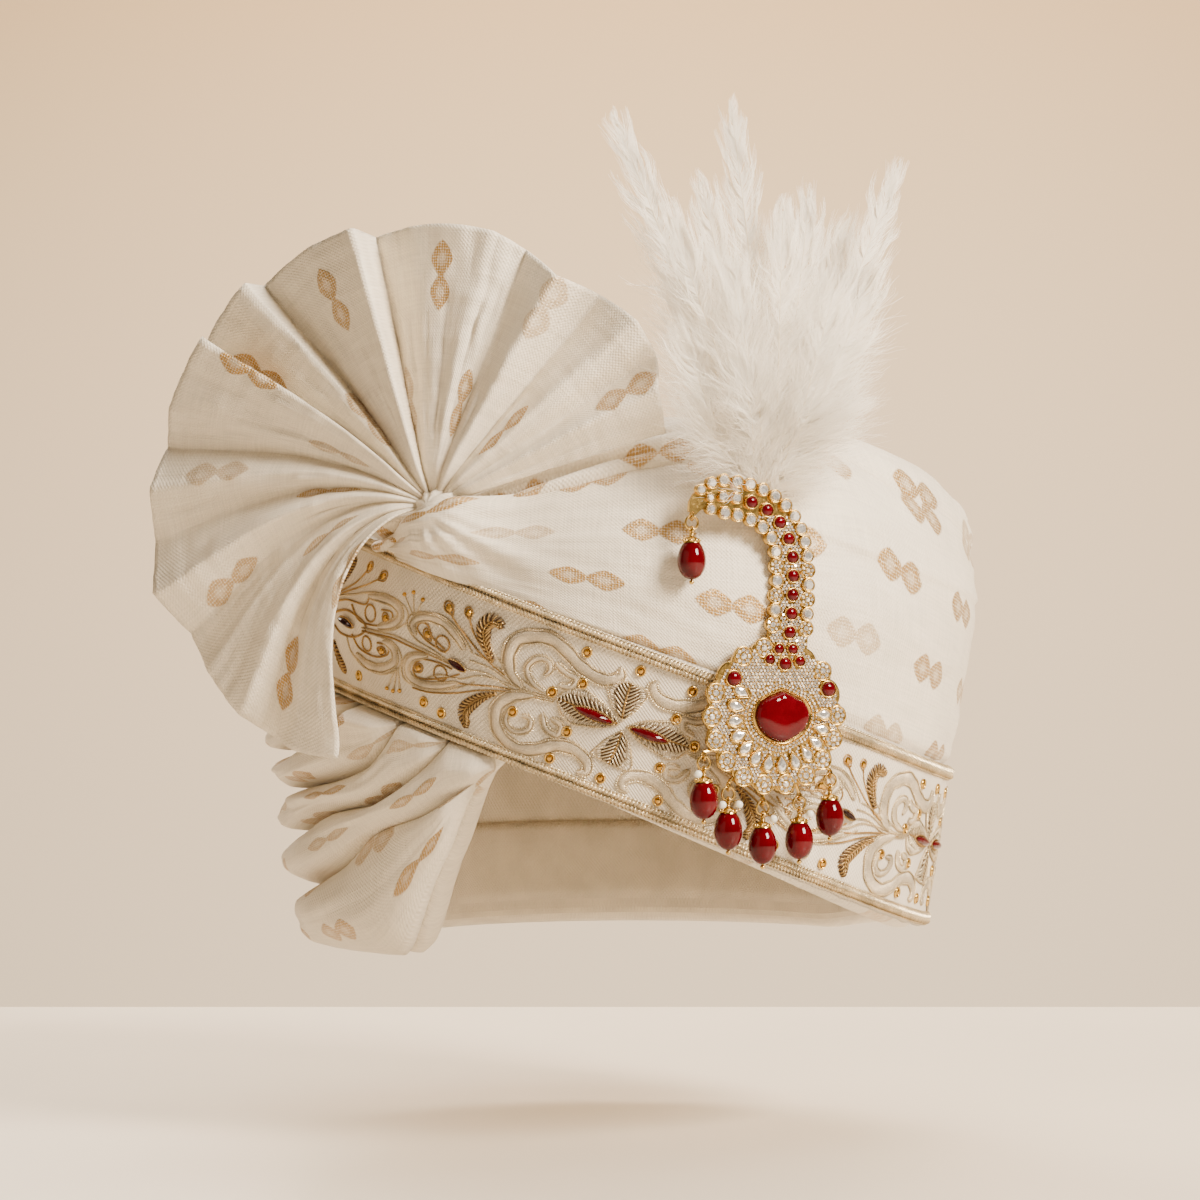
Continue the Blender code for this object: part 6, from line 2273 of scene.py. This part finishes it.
Feather = namedtuple("Feather", "tip_across tip_up depth bow barb spread down")
FEATHERS = (
    Feather(-0.095, 1.000, -0.010, 0.02, 0.150, 1.00, 0.40),
    Feather(-0.405, 0.955, -0.040, -0.05, 0.165, 0.95, 0.35),
    Feather(0.365, 0.845, 0.020, 0.08, 0.160, 1.00, 0.35),
    Feather(0.110, 0.760, 0.030, 0.03, 0.165, 1.05, 0.60),
    Feather(-0.190, 0.790, 0.020, -0.03, 0.160, 1.00, 0.55),
    Feather(0.250, 0.700, -0.045, 0.06, 0.180, 1.15, 0.80),
    Feather(-0.280, 0.690, 0.040, -0.06, 0.180, 1.15, 0.80),
    Feather(0.020, 0.720, 0.060, 0.00, 0.175, 1.10, 0.80),
    Feather(0.280, 0.560, 0.035, 0.08, 0.185, 1.25, 1.00),
    Feather(-0.230, 0.540, -0.050, -0.07, 0.185, 1.25, 1.00),
    Feather(-0.130, 0.560, 0.070, -0.02, 0.180, 1.20, 1.00),
    Feather(0.160, 0.520, 0.070, 0.03, 0.180, 1.20, 1.00),
    Feather(0.240, 0.400, 0.010, 0.08, 0.180, 1.35, 1.00),
    Feather(-0.240, 0.380, 0.020, -0.08, 0.180, 1.35, 1.00),
    Feather(-0.110, 0.330, 0.075, -0.03, 0.170, 1.40, 1.00),
    Feather(0.120, 0.310, 0.070, 0.03, 0.170, 1.40, 1.00),
    Feather(0.230, 0.240, 0.030, 0.05, 0.150, 1.50, 1.00),
    Feather(-0.210, 0.220, 0.030, -0.05, 0.150, 1.50, 1.00),
)
BARB_STEPS = 6
# How far each kind of barb bends, and its kink
BARB_SHAPES = ((0.10, 0.2), (0.22, -0.3), (0.36, 0.5), (-0.12, 0.6), (0.5, -0.8))
BARB_WAVE_HEIGHT = 0.0075
BARB_WAVE_SCALE = 95.0
QUILL_STEPS = 120
QUILL_RADIUS = 0.00032
FRONT_DEPTH = 0.015


def barb_template(name, bend, kink):
    """A thin ribbon along +X that narrows to a point and bends towards +Y."""
    points, faces, reach = [], [], []
    for k in range(BARB_STEPS + 1):
        t = k / BARB_STEPS
        middle = Vector((t, bend * t * t + kink * math.sin(math.pi * 2 * t) * 0.05, 0.06 * math.sin(t * 3)))
        half = 0.0042 * (1 - 0.8 * t)
        points += [tuple(middle + Vector((0, half, 0))), tuple(middle - Vector((0, half, 0)))]
        reach += [t * t, t * t]
    for a in range(0, 2 * BARB_STEPS, 2):
        faces.append((a, a + 2, a + 3, a + 1))
    return template_mesh(name, points, faces, smooth=True, reach=reach)


def feather_line(feather):
    """The quill of a feather in the brooch's frame."""
    tip = Vector((feather.tip_across, feather.tip_up, 0.0)) * PLUME_HEIGHT
    tip += Vector((PLUME_ROOT.x, STEM_HEIGHT, PLUME_ROOT.z))
    line = []
    for k in range(QUILL_STEPS + 1):
        t = k / QUILL_STEPS
        point = PLUME_ROOT.lerp(tip, t)
        point.x = PLUME_ROOT.x + (tip.x - PLUME_ROOT.x) * (t**1.35)
        point.x += feather.bow * PLUME_HEIGHT * 0.5 * math.sin(math.pi * t)
        free = eased(point.y, STEM_HEIGHT + 0.004, STEM_HEIGHT + 0.030)
        point.z += feather.depth * PLUME_HEIGHT * free
        line.append(point)
    return line


def barb_spots(index, feather, line, place):
    """The barbs of one feather: firm and narrow towards its tip, downy and loose towards its root."""
    spots = []
    barbs = 950 if feather.tip_up > 0.45 else 700
    for k in range(barbs):
        t = 0.10 + 0.90 * (k / barbs)
        i = min(QUILL_STEPS - 1, int(t * QUILL_STEPS))
        spot = line[i].lerp(line[i + 1], t * QUILL_STEPS - i)
        along = (line[i + 1] - line[i]).normalized()
        side = -1 if k % 2 else 1
        # Barbs of one tuft share most of their luck, so that they cling together
        tuft = int(t * 34) * 2 + (side > 0)
        luck = 0.7 * chance(tuft, index) + 0.3 * chance(k, index)
        luck_2 = 0.65 * chance(tuft * 3, index + 7) + 0.35 * chance(k * 3, index + 7)
        luck_3 = 0.5 * chance(tuft * 7, index + 13) + 0.5 * chance(k * 7, index + 13)
        downy = feather.down * (1 - eased(t, 0.45, 0.95)) + (1 - feather.down) * (1 - eased(t, 0.2, 0.55))
        across = along.cross(Vector((0, 0, 1))).normalized() * side
        roll = (luck - 0.5) * (0.5 + 2.2 * downy)
        outward = across * math.cos(roll) + Vector((0, 0, 1)) * math.sin(roll)
        lean = math.radians(22 + 30 * feather.spread * (1 - t) ** 0.7 + 26 * downy * (luck_2 - 0.35))
        direction = (along * math.cos(lean) + outward * math.sin(lean)).normalized()
        full = math.sin(math.pi * min(1.0, 0.15 + t * 0.85)) ** 0.6
        length = feather.barb * PLUME_HEIGHT * (0.45 + 0.55 * full)
        length *= (0.55 + 0.60 * luck_3) * (1 + 0.15 * downy)
        if t > 0.9:
            length *= 1 - 0.55 * (t - 0.9) / 0.1
        bend_to = (along - direction * along.dot(direction)).normalized()
        axes = Matrix((direction, bend_to, direction.cross(bend_to))).transposed()
        turned = axes @ Matrix.Rotation((luck_2 - 0.5) * 2.4 * (0.3 + downy), 3, "X")
        turned = place.to_3x3() @ turned
        wide = 1.0 if downy > 0.5 else 1.5
        pick = int(luck * 2) if downy < 0.3 else int(chance(k, 31 + index) * 5)
        size = (length, length * (0.9 + 0.5 * luck_2) * wide * (0.018 / length) ** 0.5, length)
        spots.append(Spot(place @ spot, tuple(turned.to_euler()), size, min(pick, len(BARB_SHAPES) - 1)))
    return spots


class TURBAN_OT_plume(bpy.types.Operator):
    """Adds the plume of soft white feathers, each a quill with barbs set by Geometry Nodes"""

    bl_idname = "turban.plume"
    bl_label = "Feather plume"

    def execute(self, context):
        place = brooch_matrix()
        templates = [barb_template(f"barb_{k}", *shape) for k, shape in enumerate(BARB_SHAPES)]
        groups = {"plume_back": [], "plume_front": []}
        quills = []
        narrowing = [1.1 - 0.95 * k / 30 for k in range(31)]
        for index, feather in enumerate(FEATHERS):
            line = feather_line(feather)
            quills.append(tube(line[::4], QUILL_RADIUS, 6, radii=narrowing))
            group = groups["plume_front" if feather.depth > FRONT_DEPTH else "plume_back"]
            group += barb_spots(index, feather, line, place)
        for name, spots in groups.items():
            barbs = scatter(name, templates, spots, "white_feather", BARB_WAVE_HEIGHT, BARB_WAVE_SCALE)
            kept(barbs, "feather", *(["plume"] if name == "plume_front" else []))
        kept(in_place("feather_quills", quills, place, "feather_quill", 80), "feather")
        return {"FINISHED"}


# Stage

WALL_PLACE = 2.4
FLOOR_LEVEL = -0.1005
FLOOR_EDGE = 0.45
CAMERA_DISTANCE = 1.6
CAMERA_REACH = 0.2222
TURBAN_MIDDLE = (0.0, 0.0, 0.06)
Light = namedtuple("Light", "name place aim size power colour")
LIGHTS = (
    Light("key", (1.05, -0.95, 0.95), TURBAN_MIDDLE, 0.55, 82.0, "#FFF1DE"),
    Light("fill", (-1.4, -1.3, 0.5), TURBAN_MIDDLE, 1.6, 4.0, "#FFE4C4"),
    Light("top", (0.2, 0.1, 1.4), TURBAN_MIDDLE, 0.9, 14.0, "#FFF6EA"),
    Light("glow", (0.1, 1.35, 1.35), (0.0, WALL_PLACE, -0.45), 0.9, 90.0, "#FFEEDA"),
    Light("rim", (-0.55, 1.35, 0.95), TURBAN_MIDDLE, 0.8, 22.0, "#FFF2E0"),
)


def flat_sheet(name, corners, material):
    mesh = bpy.data.meshes.new(name)
    mesh.from_pydata(corners, [], [(0, 1, 2, 3)])
    mesh.materials.append(bpy.data.materials[material])
    return add_object(name, mesh)


class TURBAN_OT_stage(bpy.types.Operator):
    """Adds the pale floor, the warm backdrop, the studio lights and the camera"""

    bl_idname = "turban.stage"
    bl_label = "Stage"

    def execute(self, context):
        # Pale marble. To the eye: a smooth floor with faint clouds
        tree = new_tree("pale_stone")
        shade(tree, Base_Color=toned(tree, piece_noise(tree, 5.0, 5.0), "#E4D8C6", 0.96, 1.02), Roughness=0.35)
        # Matt wall with painted shade: its colour darkens towards the top in place of the light falling off with height
        tree = new_tree("painted_backdrop")
        place = node(tree, "ShaderNodeTexCoord")
        height = node(tree, "ShaderNodeSeparateXYZ", {0: (place, "Object")})
        share = node(tree, "ShaderNodeMapRange", {0: (height, "Z"), 1: -0.28, 2: 0.66})
        ends = {0: share, 6: linear("#F2E3CB"), 7: linear("#B29772")}
        colour = node(tree, "ShaderNodeMix", ends, data_type="RGBA")
        shade(tree, Base_Color=(colour, 2), Roughness=0.9)
        corners = [(-3, -2.2), (3, -2.2), (3, FLOOR_EDGE), (-3, FLOOR_EDGE)]
        floor = flat_sheet("floor", [(x, y, FLOOR_LEVEL) for x, y in corners], "pale_stone")
        corners = [(-6, -1.2), (6, -1.2), (6, 3.5), (-6, 3.5)]
        wall = flat_sheet("backdrop", [(x, WALL_PLACE, z) for x, z in corners], "painted_backdrop")
        for light in LIGHTS:
            data = bpy.data.lights.new(light.name, "AREA")
            data.size = light.size
            data.energy = light.power
            data.color = linear(light.colour)[:3]
            lamp = add_object(light.name, data)
            lamp.location = light.place
            lamp.rotation_euler = (Vector(light.aim) - Vector(light.place)).to_track_quat("-Z", "Y").to_euler()
        world = bpy.data.worlds.new("studio")
        world.use_nodes = True
        background = world.node_tree.nodes["Background"]
        background.inputs["Color"].default_value = linear("#F2DFC2")
        background.inputs["Strength"].default_value = 0.20
        context.scene.world = world
        camera = bpy.data.cameras.new("camera")
        camera.sensor_fit = "HORIZONTAL"
        camera.angle = 2 * math.atan(CAMERA_REACH / CAMERA_DISTANCE)
        camera.clip_start = 0.05
        view = add_object("camera", camera)
        view.location = (-0.0148, -CAMERA_DISTANCE, 0.0926)
        view.rotation_euler = (math.radians(90), 0, 0)
        context.scene.camera = view
        return {"FINISHED"}


class TURBAN_PT_parts(bpy.types.Panel):
    """Lists the turban's pieces"""

    bl_idname = "TURBAN_PT_parts"
    bl_label = "Turban"
    bl_space_type = "VIEW_3D"
    bl_region_type = "UI"
    bl_category = "Turban"

    def draw(self, context):
        settings = context.scene.turban_settings
        for name in settings.bl_rna.properties.keys():
            if name not in {"rna_type", "name"}:
                self.layout.prop(settings, name)
        for step in STEPS:
            self.layout.operator(step.bl_idname)


STEPS = (
    TURBAN_OT_stage,
    TURBAN_OT_crown,
    TURBAN_OT_wraps,
    TURBAN_OT_folds,
    TURBAN_OT_fan,
    TURBAN_OT_band,
    TURBAN_OT_cords,
    TURBAN_OT_embroidery,
    TURBAN_OT_brooch,
    TURBAN_OT_drops,
    TURBAN_OT_plume,
)
CLASSES = (TurbanSettings, *STEPS, TURBAN_PT_parts)


def register():
    for each in CLASSES:
        bpy.utils.register_class(each)
    bpy.types.Scene.turban_settings = PointerProperty(type=TurbanSettings)


def unregister():
    del bpy.types.Scene.turban_settings
    for each in reversed(CLASSES):
        bpy.utils.unregister_class(each)


def main():
    register()
    make_materials(bpy.context.scene.turban_settings)
    for step in STEPS:
        group, name = step.bl_idname.split(".")
        getattr(getattr(bpy.ops, group), name)()


if __name__ == "__main__":
    main()
